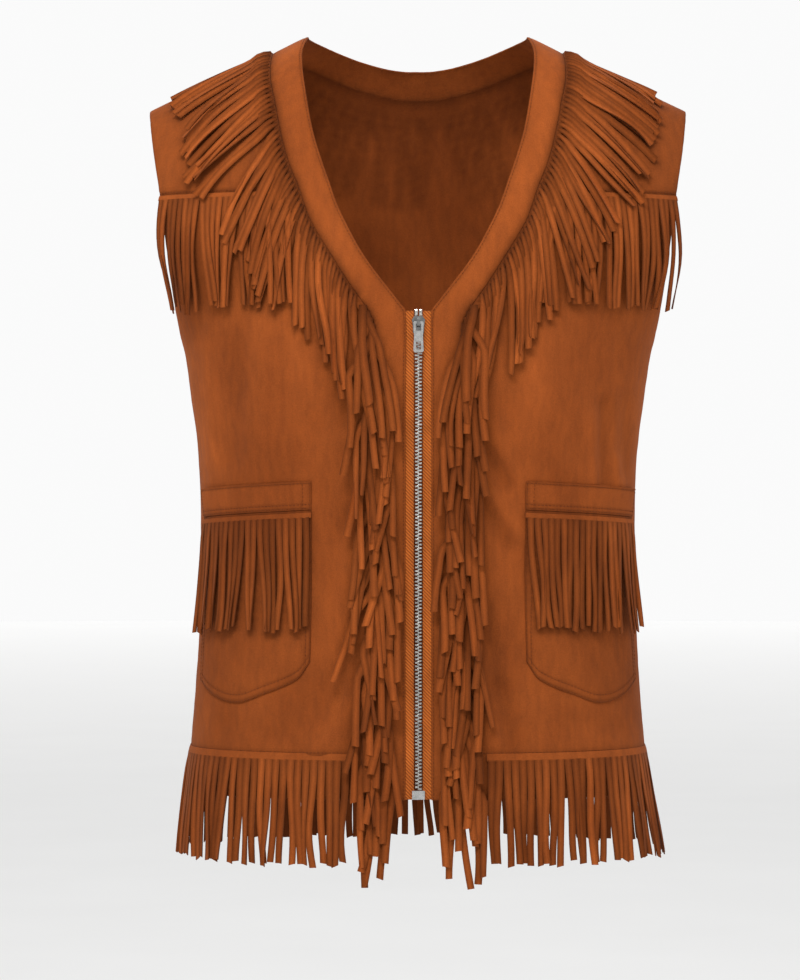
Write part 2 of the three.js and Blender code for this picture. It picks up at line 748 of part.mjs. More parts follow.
// The strands that hang down in three lanes along the zip, each shingled over the next
function frontFringe(side) {
  const { strand, pitch, strip, stripX, topZ, bottomZ, lanes } = FRONT_FRINGE;
  const rootHalf = 0.9;
  const count = Math.floor((topZ - bottomZ - 4 * rootHalf) / pitch) + 1;
  const onBody = (x, z) => levelPoint(side * angleOf(x, z), z, FRONT);
  const columnAt = (z) => {
    const near = onBody(stripX - strip / 2, z);
    const far = onBody(stripX + strip / 2, z);
    const top = OVERLAY_GAP + FRINGE_CLOTH;
    return [raise(near, top), raise(far, top), raise(far, OVERLAY_GAP), raise(near, OVERLAY_GAP)];
  };
  const columns = [columnAt(topZ)];
  const strands = [];
  for (let k = 0; k < count; k++) {
    const rootZ = topZ - 2 * rootHalf - k * pitch;
    columns.push(columnAt(rootZ + rootHalf), columnAt(rootZ - rootHalf));
    const lane = lanes[k % lanes.length] + 1.2 * uneven(k, 7);
    const end = FRONT_FRINGE.length + FRONT_FRINGE.ragged * uneven(k, 8);
    const rings = [...FRONT_FRINGE.rings, end].map((distance) => {
      const moved = THREE.MathUtils.smoothstep(distance, 0, 26);
      const z = rootZ - distance;
      const point = onBody(lerp(stripX, lane, moved), z);
      const normal = outward(point);
      const across = new THREE.Vector3().crossVectors(DOWN, normal).normalize();
      if (across.x * side < 0) across.negate();
      const risen = FRONT_FRINGE.rise * (distance - FRONT_FRINGE.rings[0]);
      const height = FRONT_FRINGE.height + risen + foldAt(point);
      const corner = (aside, out) =>
        point
          .clone()
          .addScaledVector(across, (aside * strand) / 2)
          .addScaledVector(normal, height + (out * FRINGE_CLOTH) / 2);
      return [corner(-1, 1), corner(-1, -1), corner(1, -1), corner(1, 1)];
    });
    strands.push(rings);
  }
  columns.push(columnAt(bottomZ));
  return fringe(columns, strands);
}

// A point of the pocket by its share of the width, at a height above or below its top line
function pocketPoint(side, share, z) {
  const inner = angleOf(POCKET.innerX, POCKET.topZ);
  const outer = angleOf(POCKET.outerX, POCKET.topZ);
  return levelPoint(side * lerp(inner, outer, share), z, FRONT);
}

function pocketDrop(share) {
  return share * (POCKET.outerX - POCKET.innerX) * POCKET.drop;
}

function pocketBag(side) {
  return spread(0, 1, 12).map((share) => {
    const top = POCKET.weltZ - SEAM_GAP - pocketDrop(share);
    return spread(pocketBottom(share), top, 6).map((z) => pocketPoint(side, share, z));
  });
}

function pocketBand(side) {
  return spread(0, 1, 10).map((share) =>
    spread(POCKET.weltZ, POCKET.topZ, 1).map((z) =>
      pocketPoint(side, share, z - pocketDrop(share)),
    ),
  );
}

function pocketFringe(side) {
  const line = new THREE.CatmullRomCurve3(
    spread(0, 1, 24).map((share) =>
      pocketPoint(side, share, POCKET.weltZ - 2 - pocketDrop(share)),
    ),
  );
  return edgeFringe({
    line,
    size: POCKET_FRINGE,
    base: POCKET_BAG_TOP + OVERLAY_GAP,
    seed: 9,
    downAt: straightDown,
    headingAt: () => () => DOWN.clone(),
    riseAt: (k, count) => 0.025 + 0.06 * (k / (count - 1)) ** 3,
  });
}

function zipTape(side) {
  const rows = [ZIP.topZ, ...FRONT_ROWS.filter((z) => z < ZIP.topZ - 4 && z > ZIP.bottomZ).reverse()];
  return [ZIP.tapeIn, ZIP.tapeOut].map((x) =>
    [...rows, ZIP.bottomZ].map((z) => levelPoint(side * angleOf(x, z), z, FRONT)),
  );
}

function zipChain() {
  const topZ = SLIDER.z - 1;
  const rows = [topZ, ...FRONT_ROWS.filter((z) => z < topZ - 4 && z > ZIP.bottomZ).reverse()];
  return [-ZIP.chain, ZIP.chain].map((x) =>
    [...rows, ZIP.bottomZ].map((z) => levelPoint(angleOf(x, z), z, FRONT)),
  );
}

// Turns an outline drawn in X and Z, thick along +Z, so that its thickness runs to the front
function standUp(geometry) {
  return geometry.rotateX(Math.PI / 2);
}

function extrude(shape, depth, curveSegments = 4) {
  return new THREE.ExtrudeGeometry(shape, { depth, bevelEnabled: false, curveSegments });
}

function outline(points) {
  return new THREE.Shape(points.map(([x, y]) => new THREE.Vector2(x, y)));
}

const wasm = await Module();
wasm.setup();

function toSolid(geometry) {
  const bare = geometry.clone();
  bare.deleteAttribute("normal");
  bare.deleteAttribute("uv");
  const merged = mergeVertices(bare, 1e-4);
  return new wasm.Manifold(
    new wasm.Mesh({
      numProp: 3,
      vertProperties: new Float32Array(merged.attributes.position.array),
      triVerts: new Uint32Array(merged.index.array),
    }),
  );
}

function toGeometry(solid) {
  const mesh = solid.getMesh();
  const geometry = new THREE.BufferGeometry();
  const positions = new THREE.Float32BufferAttribute(mesh.vertProperties, mesh.numProp);
  geometry.setAttribute("position", positions);
  geometry.setIndex([...mesh.triVerts]);
  geometry.computeVertexNormals();
  return geometry;
}

// The slider, with its origin on the cloth's outer face at the middle of the slider:
// two plates round the chain, the wedge between them and the bridge for the pull
function zipSlider() {
  const half = SLIDER.length / 2;
  const plate = outline([
    [-SLIDER.bottom / 2, -half],
    [SLIDER.bottom / 2, -half],
    [SLIDER.bottom / 2 + SLIDER.waist, 0],
    [SLIDER.top / 2, half - SLIDER_NOSE.length],
    [SLIDER.top / 2 - SLIDER_NOSE.inset, half],
    [-SLIDER.top / 2 + SLIDER_NOSE.inset, half],
    [-SLIDER.top / 2, half - SLIDER_NOSE.length],
    [-SLIDER.bottom / 2 - SLIDER.waist, 0],
  ]);
  const front = standUp(extrude(plate, SLIDER.plate)).translate(0, -FRONT_PLATE_HEIGHT, 0);
  const back = standUp(extrude(plate, SLIDER.plate)).translate(0, -BACK_PLATE_HEIGHT, 0);
  const wedgeDepth = FRONT_PLATE_HEIGHT - BACK_PLATE_HEIGHT - SLIDER.plate + 1;
  const wedge = new THREE.BoxGeometry(WEDGE.width, wedgeDepth, WEDGE.length);
  const wedgeOut = (FRONT_PLATE_HEIGHT + BACK_PLATE_HEIGHT + SLIDER.plate) / 2;
  wedge.translate(0, -wedgeOut, half - WEDGE.below);
  const solid = [back, wedge, bridgeGeometry()].reduce(
    (joined, geometry) => joined.add(toSolid(geometry)),
    toSolid(front),
  );
  return toGeometry(solid);
}

// The bridge is drawn from the side: how far it stands out, and height
function bridgeGeometry() {
  const foot = FRONT_PLATE_HEIGHT + SLIDER.plate;
  const centre = PULL.pivotZ - SLIDER.z;
  const halfInner = BRIDGE.inner / 2;
  const halfOuter = halfInner + BRIDGE.leg;
  const top = foot + BRIDGE.height;
  const shape = outline([
    [foot - 0.5, centre - halfOuter],
    [foot + 0.6 * BRIDGE.height, centre - halfOuter],
    [top + BRIDGE.wall, centre - halfInner],
    [top + BRIDGE.wall, centre + halfInner],
    [foot + 0.6 * BRIDGE.height, centre + halfOuter],
    [foot - 0.5, centre + halfOuter],
    [foot - 0.5, centre + halfInner],
    [top, centre + halfInner],
    [top, centre - halfInner],
    [foot - 0.5, centre - halfInner],
  ]);
  const geometry = extrude(shape, BRIDGE.width).translate(0, 0, -BRIDGE.width / 2);
  const turn = new THREE.Matrix4().makeBasis(
    new THREE.Vector3(0, -1, 0),
    new THREE.Vector3(0, 0, 1),
    new THREE.Vector3(-1, 0, 0),
  );
  return geometry.applyMatrix4(turn);
}

// The pull, with its origin on its pivot: a bar in the bridge, two sides round it and a tab
function zipPull() {
  const half = PULL.width / 2;
  const top = PULL.bar / 2;
  const bottom = top - PULL.length;
  const { corner, waist, side } = PULL_EDGE;
  const shape = outline([
    [-half, bottom + corner],
    [-half + corner, bottom],
    [half - corner, bottom],
    [half, bottom + corner],
    [half - waist, (top + bottom) / 2],
    [half, top - corner],
    [half - corner, top],
    [-half + corner, top],
    [-half, top - corner],
    [-half + waist, (top + bottom) / 2],
  ]);
  const eyeHalf = half - side;
  const eyeTop = -PULL.bar / 2;
  const windowBottom = bottom + PULL_WINDOW.foot;
  const hole = (halfWide, low, high) =>
    outline([
      [-halfWide, low],
      [-halfWide, high],
      [halfWide, high],
      [halfWide, low],
    ]);
  shape.holes.push(hole(eyeHalf, eyeTop - PULL.eye, eyeTop));
  shape.holes.push(hole(PULL_WINDOW.width / 2, windowBottom, windowBottom + PULL_WINDOW.height));
  return standUp(extrude(shape, PULL.thick)).translate(0, PULL.thick / 2, 0);
}

function material(colour, roughness, metalness = 0) {
  return new THREE.MeshStandardMaterial({ color: colour, roughness, metalness });
}

const vest = new THREE.Group();

function add(name, geometry, surface) {
  const mesh = new THREE.Mesh(geometry, surface);
  mesh.name = name;
  vest.add(mesh);
  return mesh;
}

const suede = () => material(COLOURS.suede, 0.9);
const fringeSuede = () => material(COLOURS.fringe, 0.9);
const metal = () => material(COLOURS.metal, 0.3, 1);

for (const [word, side] of [["left", LEFT], ["right", RIGHT]]) {
  add(`front_${word}`, wall(frontPanel(side), -CLOTH, 0), suede());
  add(`yoke_${word}`, wall(yokePanel(side), -CLOTH, 0), suede());
  add(`band_${word}`, wall(frontBand(side), -CLOTH, 0), suede());
  add(`pocket_${word}`, wall(pocketBag(side), ...POCKET_HEIGHT), suede());
  add(`pocket_band_${word}`, wall(pocketBand(side), ...POCKET_BAND_HEIGHT), suede());
  add(`fringe_neck_${word}`, neckFringe(side), fringeSuede());
  add(`fringe_front_${word}`, frontFringe(side), fringeSuede());
  add(`fringe_yoke_${word}`, yokeFringe(side), fringeSuede());
  add(`fringe_pocket_${word}`, pocketFringe(side), fringeSuede());
  const hemInner = side * angleOf(HEM_FRINGE_START_X, HEM_SEAM_Z);
  const hemOuter = side * seamAngle(depthAt(HEM_SEAM_Z, FRONT));
  add(`fringe_hem_${word}`, hemFringe(FRONT, hemInner, hemOuter), fringeSuede());
  add(`zip_tape_${word}`, wall(zipTape(side), ...TAPE_HEIGHT), material(COLOURS.tape, 0.8));
}
add("back", wall(backPanel(), -CLOTH, 0), suede());
add("band_back", wall(backBand(), -CLOTH, 0), suede());
add("fringe_neck_back", backNeckFringe(), fringeSuede());
const hemSideAngle = seamAngle(depthAt(HEM_SEAM_Z, BACK));
add("fringe_hem_back", hemFringe(BACK, -hemSideAngle, hemSideAngle), fringeSuede());
add("zip_chain", wall(zipChain(), ...CHAIN_HEIGHT), metal());

const sliderPlace = levelPoint(0, SLIDER.z, FRONT);
add("zip_slider", zipSlider(), metal()).position.copy(sliderPlace);
const barHeight = FRONT_PLATE_HEIGHT + SLIDER.plate + BRIDGE.height / 2;
const pullPlace = new THREE.Vector3(0, sliderPlace.y - barHeight, PULL.pivotZ);
add("zip_pull", zipPull(), metal()).position.copy(pullPlace);

const boxPlace = levelPoint(0, HEM_Z + ZIP_BOX.height / 2 + 0.5, FRONT);
const box = add(
  "zip_box",
  new THREE.BoxGeometry(ZIP_BOX.width, ZIP_BOX.thick, ZIP_BOX.height),
  metal(),
);
box.position.copy(boxPlace).addScaledVector(outward(boxPlace), ZIP_BOX_HEIGHT);
box.quaternion.setFromUnitVectors(new THREE.Vector3(0, -1, 0), outward(boxPlace));

export default vest;
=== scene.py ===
# Looks of a western fringe vest of soft suede cloth, worn and zipped up, with nobody in it.
# Sizes are millimetres in the vest's own frame, +Z up and the front towards -Y, and each mesh
# is made in metres from them. The wearer's left is at +X.

import math

import bpy
import numpy as np
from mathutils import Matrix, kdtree, noise


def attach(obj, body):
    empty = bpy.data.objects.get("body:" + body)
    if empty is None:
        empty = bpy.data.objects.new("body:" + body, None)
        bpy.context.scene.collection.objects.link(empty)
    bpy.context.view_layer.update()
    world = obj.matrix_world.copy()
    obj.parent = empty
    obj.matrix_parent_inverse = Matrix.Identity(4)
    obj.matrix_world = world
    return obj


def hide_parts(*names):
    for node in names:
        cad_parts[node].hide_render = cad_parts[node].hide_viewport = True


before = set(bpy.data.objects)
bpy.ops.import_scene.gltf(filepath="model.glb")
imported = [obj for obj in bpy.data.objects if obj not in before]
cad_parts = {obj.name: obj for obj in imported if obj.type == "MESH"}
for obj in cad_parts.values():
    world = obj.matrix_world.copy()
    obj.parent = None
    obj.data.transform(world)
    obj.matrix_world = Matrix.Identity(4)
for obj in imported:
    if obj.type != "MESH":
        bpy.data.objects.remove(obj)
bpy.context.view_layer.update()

MM = 0.001
FRONT = -1
BACK = 1
SIDES = (("left", 1), ("right", -1))

# Heights that the cut is marked by
HEM_Z = -620.5
UNDERARM_Z = -255
YOKE_SEAM_Z = -136
HEM_SEAM_Z = -584

# Cloth
CLOTH = 1.6
FRINGE_CLOTH = 1.0
# gap at the side and shoulder seams, lap at the other seams, and gap under what is sewn on
SEAM_GAP = 0.02
SEAM_LAP = 0.15
OVERLAY_GAP = 0.4

# Form of the worn body: each level is a rounded oval with this exponent
ROUND = 2.3


def table(columns, *rows):
    """Rows of numbers as one array for each named column."""
    return dict(zip(columns.split(), np.array(rows, float).T))


# height, half width at the side seam, depth in front and behind the side seam
BODY_LEVELS = table(
    "z width front back",
    (-700, 202, 119, 124),
    (-673, 199, 118, 123),
    (-620, 191, 115, 120),
    (-581, 186.7, 112, 116),
    (-527, 182.2, 108, 110),
    (-466, 179.2, 106, 106),
    (-418, 178.8, 107, 106),
    (-370, 179.4, 111, 109),
    (-334, 182, 115, 114),
    (-300, 186.5, 118, 119),
    (-270, 190.7, 119.8, 122),
    (-255, 194, 120, 122),
    (-218, 208, 120, 122),
    (-180, 226, 120, 122),
    (-135, 235, 120, 122),
    (-63, 243, 120, 122),
    (20, 243, 120, 122),
)

# distance from the centre, height of the shoulder line above it
SHOULDER_LINE = table("x z", (0, 12), (43, 9), (86, 0), (119, -15.3), (221, -62.8), (250, -76.3))
SHOULDER_TIP_X = 221

# height, distance of the armhole's edge from the centre
ARMHOLE = table(
    "z x",
    (-255, 194),
    (-240, 196.5),
    (-218, 199.6),
    (-180, 204),
    (-135, 210),
    (-95, 216.5),
    (-63, 221),
)

# neck band: seam to the front panel, and the free inner edge level with it
BAND = table(
    "seam_x seam_z edge_x edge_z",
    (119, -15.3, 90, -1.9),
    (120, -31, 94, -15),
    (119, -45, 94, -29),
    (115.5, -61, 91.5, -48),
    (109.5, -91, 85, -84.5),
    (103.5, -113, 79, -106),
    (95, -135, 71.8, -127),
    (86.5, -159.5, 64.5, -148),
    (76, -178, 55.5, -167),
    (65, -195.5, 46, -184.5),
    (54.5, -212, 35.5, -200),
    (44, -226.5, 25, -213.5),
    (36, -241, 14.5, -227),
    (35, -256, 10.3, -233),
    (35, -290, 10.3, -283),
    (35, -330, 10.3, -330),
    (35, -620.5, 10.3, -620.5),
)

# Back neck: half width and depth of the free edge, and of the seam to the back
NECK_EDGE_X, NECK_EDGE_Y = 90, 68
NECK_SEAM_X, NECK_SEAM_Y = 119, 83

# Soft folds of the solids: side of the body, line from one end to the other, half width of
# the fold, and how far it stands out (or, below zero, sinks in)
FOLDS = table(
    "face x0 z0 x1 z1 width rise",
    (FRONT, 66, -318, 71, -436, 19, -3.2),
    (FRONT, 71, -470, 66, -545, 19, -3.2),
    (FRONT, 96, -262, 108, -340, 26, 3),
    (FRONT, 150, -268, 146, -335, 24, -2.5),
    (FRONT, -70, -330, -67, -545, 20, -2.8),
    (FRONT, -120, -262, -130, -335, 26, 2.5),
    (FRONT, -160, -270, -152, -335, 22, -2),
    (BACK, -62, -290, -88, -530, 30, 4.5),
    (BACK, 10, -320, -14, -535, 32, -4.5),
    (BACK, 70, -280, 94, -528, 30, 4),
    (BACK, 128, -300, 138, -520, 26, -3.5),
    (BACK, -130, -310, -142, -525, 26, -3),
    (BACK, -40, -215, 60, -235, 26, -3),
)

# Finer creases of the cloth, over those folds
CREASES = table(
    "face x0 z0 x1 z1 width rise",
    (FRONT, 50, -333, 71, -371, 6.5, -3.9),
    (FRONT, 58, -330, 80, -368, 6.5, 2.2),
    (FRONT, 50, -382, 71, -418, 7, -3.6),
    (FRONT, 60, -378, 80, -412, 7, 2.0),
    (FRONT, 56, -472, 66, -533, 8, -3.0),
    (FRONT, 66, -533, 75, -575, 8, -3.3),
    (FRONT, 52, -543, 61, -574, 6, 2.7),
    (FRONT, 140, -316, 140, -366, 7, 2.5),
    (FRONT, 151, -306, 151, -368, 6, -2.8),
    (FRONT, 162, -350, 162, -372, 5, 1.8),
    (FRONT, 169, -300, 168, -360, 6, -2.0),
    (FRONT, 104, -236, 94, -300, 11, 1.7),
    (FRONT, 116, -556, 160, -566, 8, -1.4),
    (FRONT, -62, -300, -58, -324, 7, -2.2),
    (FRONT, -56, -420, -66, -520, 9, 1.8),
    (FRONT, -92, -236, -100, -320, 12, 1.5),
    (FRONT, -140, -246, -150, -350, 10, -1.8),
    (FRONT, -172, -262, -168, -352, 8, 1.5),
    (FRONT, -56, -548, -78, -578, 8, 2.0),
    (FRONT, -150, -560, -110, -572, 8, -1.2),
    (BACK, -30, -300, -52, -470, 11, 1.8),
    (BACK, 36, -340, 48, -560, 12, 1.8),
    (BACK, -104, -280, -110, -420, 11, -1.8),
    (BACK, 108, -420, 116, -585, 10, 1.5),
    (BACK, -160, -300, -150, -470, 10, 1.4),
    (BACK, 160, -270, 154, -400, 10, -1.5),
    (BACK, -110, -180, -30, -200, 10, 1.3),
    (BACK, 110, -172, 44, -192, 10, 1.2),
    (BACK, -80, -560, -20, -545, 10, -1.3),
    (BACK, -170, -150, -120, -215, 10, -1.4),
    (BACK, 172, -158, 126, -222, 10, -1.3),
)

# height of the root, how steeply a neck strand runs down from level, degrees
NECK_STRAND_SLOPE = table(
    "z slope",
    (-240, 90),
    (-190, 88),
    (-160, 82),
    (-120, 64),
    (-95, 47),
    (-70, 36),
    (-45, 28),
    (-15, 24),
)

# Pocket: where it lies round the front (distance from the centre at the top edge),
# top and bottom of its welt band, and how much the top drops per mm outwards
POCKET_INNER_X, POCKET_OUTER_X = 85.5, 174
POCKET_TOP_Z, POCKET_WELT_Z = -367.6, -390.7
POCKET_DROP = 0.07

# share of the pocket's width from its inner edge, height of the bottom edge
POCKET_BOTTOM = table(
    "share z", (0, -512), (0.07, -526), (0.3, -539), (0.5, -546), (0.75, -541), (1, -529)
)
POCKET_TOP_HEIGHT = 1.8

# Zip
ZIP_TAPE_IN, ZIP_TAPE_OUT = 3.4, 14
ZIP_TOP_Z, ZIP_BOTTOM_Z = -233, -612.6
CHAIN_TOP_Z = -250
ZIP_STOP_Z = -234.4
TAPE_TOP = -2.0
TAPE_THICK = 1.0
TOOTH_PITCH = 2.8

# Depth of the strips, length of the strands, and how far apart they are
NECK_STRIP, NECK_LENGTH, NECK_PITCH = 4, 84, 4.9
FRONT_STRIP, FRONT_LENGTH, FRONT_PITCH = 6.5, 80, 4.8
YOKE_STRIP, YOKE_LENGTH, YOKE_PITCH = 4, 87, 5.2
POCKET_STRIP, POCKET_LENGTH, POCKET_PITCH = 4, 88, 5.6
HEM_STRIP, HEM_LENGTH, HEM_PITCH = 6, 82, 6.3
NECK_FRINGE_END_Z = -221
YOKE_FRINGE_INNER_X = 100
HEM_FRINGE_INNER_X = 54


# The form of the body, as in the solids

def profile(rows, source, target):
    """A smooth line through a table's rows, from one named column to another."""
    order = np.argsort(rows[source])
    xs = rows[source][order]
    ys = rows[target][order]
    last = len(xs) - 1
    ahead = np.minimum(np.arange(last + 1) + 1, last)
    behind = np.maximum(np.arange(last + 1) - 1, 0)
    slopes = (ys[ahead] - ys[behind]) / (xs[ahead] - xs[behind])

    def at(value):
        held = np.clip(value, xs[0], xs[-1])
        i = np.clip(np.searchsorted(xs, held) - 1, 0, last - 1)
        span = xs[i + 1] - xs[i]
        t = (held - xs[i]) / span
        rise = ys[i + 1] - ys[i]
        first = slopes[i] * span - rise
        second = rise - slopes[i + 1] * span
        return ys[i] + rise * t + t * (1 - t) * (first * (1 - t) + second * t)

    return at


half_width = profile(BODY_LEVELS, "z", "width")
front_depth = profile(BODY_LEVELS, "z", "front")
back_depth = profile(BODY_LEVELS, "z", "back")
shoulder_line = profile(SHOULDER_LINE, "x", "z")
armhole_x = profile(ARMHOLE, "z", "x")
seam_x = profile(BAND, "seam_z", "seam_x")
edge_x = profile(BAND, "edge_z", "edge_x")
edge_z_level_with = profile(BAND, "seam_z", "edge_z")
strand_slope = profile(NECK_STRAND_SLOPE, "z", "slope")
pocket_bottom = profile(POCKET_BOTTOM, "share", "z")


def lerp(start, end, share):
    return start + (end - start) * share


def smooth(value, low, high):
    t = np.clip((value - low) / (high - low), 0, 1)
    return t * t * (3 - 2 * t)


def unit(vectors):
    return vectors / np.linalg.norm(vectors, axis=-1, keepdims=True)


def dot(a, b):
    return np.sum(a * b, axis=-1, keepdims=True)


def lying(ways, outs):
    """Ways turned so that they lie along the surface."""
    return unit(ways - outs * dot(ways, outs))


def run_along(points):
    """Distance along a line at each of its points."""
    return np.concatenate([[0], np.cumsum(np.linalg.norm(np.diff(points, axis=0), axis=1))])


def read_along(at, run, values):
    """What a line's points or normals are at some distances along it."""
    return np.stack([np.interp(at, run, values[:, k]) for k in range(3)], axis=-1)


def depth_at(z, face):
    return front_depth(z) if face == FRONT else back_depth(z)


def climb(x, z):
    """How far a point is on the way from the underarm to the shoulder line, 0 to 1."""
    return np.maximum((z - UNDERARM_Z) / (shoulder_line(np.abs(x)) - UNDERARM_Z), 0)


def insideness(points):
    """Above zero inside the body's form and below zero outside it."""
    x, y, z = np.moveaxis(points, -1, 0)
    across = 1 - np.abs(x / half_width(z)) ** ROUND
    up = 1 - climb(x, z) ** ROUND
    depth = np.where(y < 0, front_depth(z), back_depth(z))
    return across * up - np.abs(y / depth) ** ROUND


def slope_of(points):
    step = 0.05 * np.eye(3)
    rises = [insideness(points + way) - insideness(points - way) for way in step]
    return np.stack(rises, axis=-1) / 0.1


def outward(points):
    return -unit(slope_of(points))


def settle(points):
    """The nearest points of the form's surface."""
    for _ in range(4):
        slope = slope_of(points)
        points = points - slope * (insideness(points)[..., None] / dot(slope, slope))
    return points


def level_point(angle, z, face):
    """A point of the form by its angle round the oval: 0 at the centre."""
    x = np.sign(angle) * half_width(z) * np.abs(np.sin(angle)) ** (2 / ROUND)
    up = (1 - np.minimum(climb(x, z), 1) ** ROUND) ** (1 / ROUND)
    y = face * depth_at(z, face) * np.abs(np.cos(angle)) ** (2 / ROUND) * up
    return np.stack(np.broadcast_arrays(x, y, z), axis=-1)


def angle_of(x, z):
    share = np.minimum(np.abs(x) / half_width(z), 1)
    return np.sign(x) * np.arcsin(share ** (ROUND / 2))


def seam_angle(depth):
    """The angle that stops half a seam gap short of the side seam or the shoulder seam."""
    return np.arccos((SEAM_GAP / 2 / depth) ** (ROUND / 2))


def height_at(x, angle):
    """Height of a point by its angle up to the shoulder line: 0 at the underarm's level."""
    share = np.sin(angle) ** (2 / ROUND)
    return UNDERARM_Z + share * (shoulder_line(np.abs(x)) - UNDERARM_Z)


def shoulder_point(x, angle, face):
    z = height_at(x, angle)
    across = (1 - np.abs(x / half_width(z)) ** ROUND) ** (1 / ROUND)
    y = face * depth_at(z, face) * np.cos(angle) ** (2 / ROUND) * across
    return np.stack(np.broadcast_arrays(x, y, z), axis=-1)


def shoulder_angle_of(x, z):
    return np.arcsin(np.minimum(climb(x, z), 1) ** (ROUND / 2))


SHOULDER_SEAM_ANGLE = seam_angle(BODY_LEVELS["front"][-1])


def top_point(x, y, face):
    """A point of the form by its place seen from above."""
    across = 1 - np.abs(x / half_width(0)) ** ROUND
    share = 1 - np.abs(y / depth_at(0, face)) ** ROUND / across
    angle = np.arcsin(np.sqrt(np.maximum(share, 0)))
    return shoulder_point(x, np.minimum(angle, SHOULDER_SEAM_ANGLE), face)


def between_edges(inner_at, outer_at, lower_z, across, up):
    """Place on the shoulder between two edges, by shares across and up from a lower edge."""
    z = lerp(lower_z, 0, up)
    for _ in range(14):
        x = lerp(inner_at(z), outer_at(z), across)
        angle = lerp(shoulder_angle_of(x, lower_z), SHOULDER_SEAM_ANGLE, up)
        z = height_at(x, angle)
    return x, angle


def fold_sum(points, folds):
    """How far the folds of a table move the cloth at some points."""
    x, y, z = np.moveaxis(points, -1, 0)
    total = np.zeros_like(x)
    face = np.where(y < 0, FRONT, BACK)
    for i, side in enumerate(folds["face"]):
        x0, z0 = folds["x0"][i], folds["z0"][i]
        run_x, run_z = folds["x1"][i] - x0, folds["z1"][i] - z0
        length = math.hypot(run_x, run_z)
        along = ((x - x0) * run_x + (z - z0) * run_z) / length
        beyond = np.maximum(np.maximum(-along, along - length), 0)
        aside = ((x - x0) * run_z - (z - z0) * run_x) / length
        bell = np.exp(-(aside**2 + beyond**2) / folds["width"][i] ** 2)
        total += np.where(face == side, folds["rise"][i] * bell, 0)
    return total


def ripple(points, size, seed):
    """Uneven softness of the cloth: smooth noise between -1 and 1, with waves of that size."""
    flat = points.reshape(-1, 3) / size + seed
    values = [noise.noise(point) for point in flat.tolist()]
    return np.array(values).reshape(points.shape[:-1])


# Meshes

def new_piece(name, points, faces, shade, surface, sharp=40):
    mesh = bpy.data.meshes.new(name)
    mesh.from_pydata((points * MM).tolist(), [], faces)
    mesh.update()
    attribute = mesh.attributes.new("shade", "FLOAT", "POINT")
    attribute.data.foreach_set("value", np.asarray(shade, np.float32))
    mesh.shade_smooth()
    mesh.set_sharp_from_angle(angle=math.radians(sharp))
    mesh.materials.append(surface)
    piece = bpy.data.objects.new(name, mesh)
    bpy.context.scene.collection.objects.link(piece)
    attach(piece, "vest")
    return piece


def grid_faces(columns, rows, first=0):
    """The four-sided faces of a grid of points that is stored column by column."""
    i, j = np.meshgrid(np.arange(columns - 1), np.arange(rows - 1), indexing="ij")
    a = first + i * rows + j
    return np.stack([a, a + rows, a + rows + 1, a + 1], axis=-1).reshape(-1, 4)


def rim_faces(columns, rows):
    """Faces that close two such grids, stored one after the other, round their edge."""
    i = np.arange(columns)
    j = np.arange(rows)
    around = np.concatenate(
        [j[:-1], i[:-1] * rows + rows - 1, (columns - 1) * rows + j[:0:-1], i[:0:-1] * rows]
    )
    after = np.roll(around, -1)
    other = columns * rows
    return np.stack([around, after, after + other, around + other], axis=-1)


# Steps in from a rolled edge, in shares of the fine distance
EDGE_STEPS = np.array([0, 0.06, 0.2, 0.5, 1.0, 2.2])


def steps_between(start, end, count, fine):
    """Steps from start to end, with closer ones over the fine distance at both ends."""
    near = EDGE_STEPS * fine
    middle = np.linspace(start + 4 * fine, end - 4 * fine, count)
    return np.concatenate([start + near, middle, end - near[::-1]])


def distance_along(grid, axis):
    """Distance over a grid's points from its first line along an axis, and from its last."""
    lengths = np.linalg.norm(np.diff(grid, axis=axis), axis=-1)
    start = np.zeros_like(np.take(lengths, [0], axis=axis))
    run = np.concatenate([start, np.cumsum(lengths, axis=axis)], axis=axis)
    return run, np.take(run, [-1], axis=axis) - run


# Edges of a panel's grid
FIRST_COLUMN, LAST_COLUMN, FIRST_ROW, LAST_ROW = range(4)

# A seam's groove: width, depth and how dark its painted shade is
GROOVE_WIDTH, GROOVE_DEPTH, GROOVE_PAINTED_SHADE = 0.9, 0.3, 0.2
# Worn edges: how dark they are and how far in that reaches
EDGE_DARK, EDGE_DARK_REACH = 0.32, 1.4
# Painted light and shade: how much lighter the cloth is painted for each mm that a crease stands out,
# and how much darker it is painted low down, where less light falls
CREASE_PAINTED_LIGHT, LOW_PAINTED_SHADE = 0.045, 0.12
LOW_FROM, LOW_TO = 300, 560


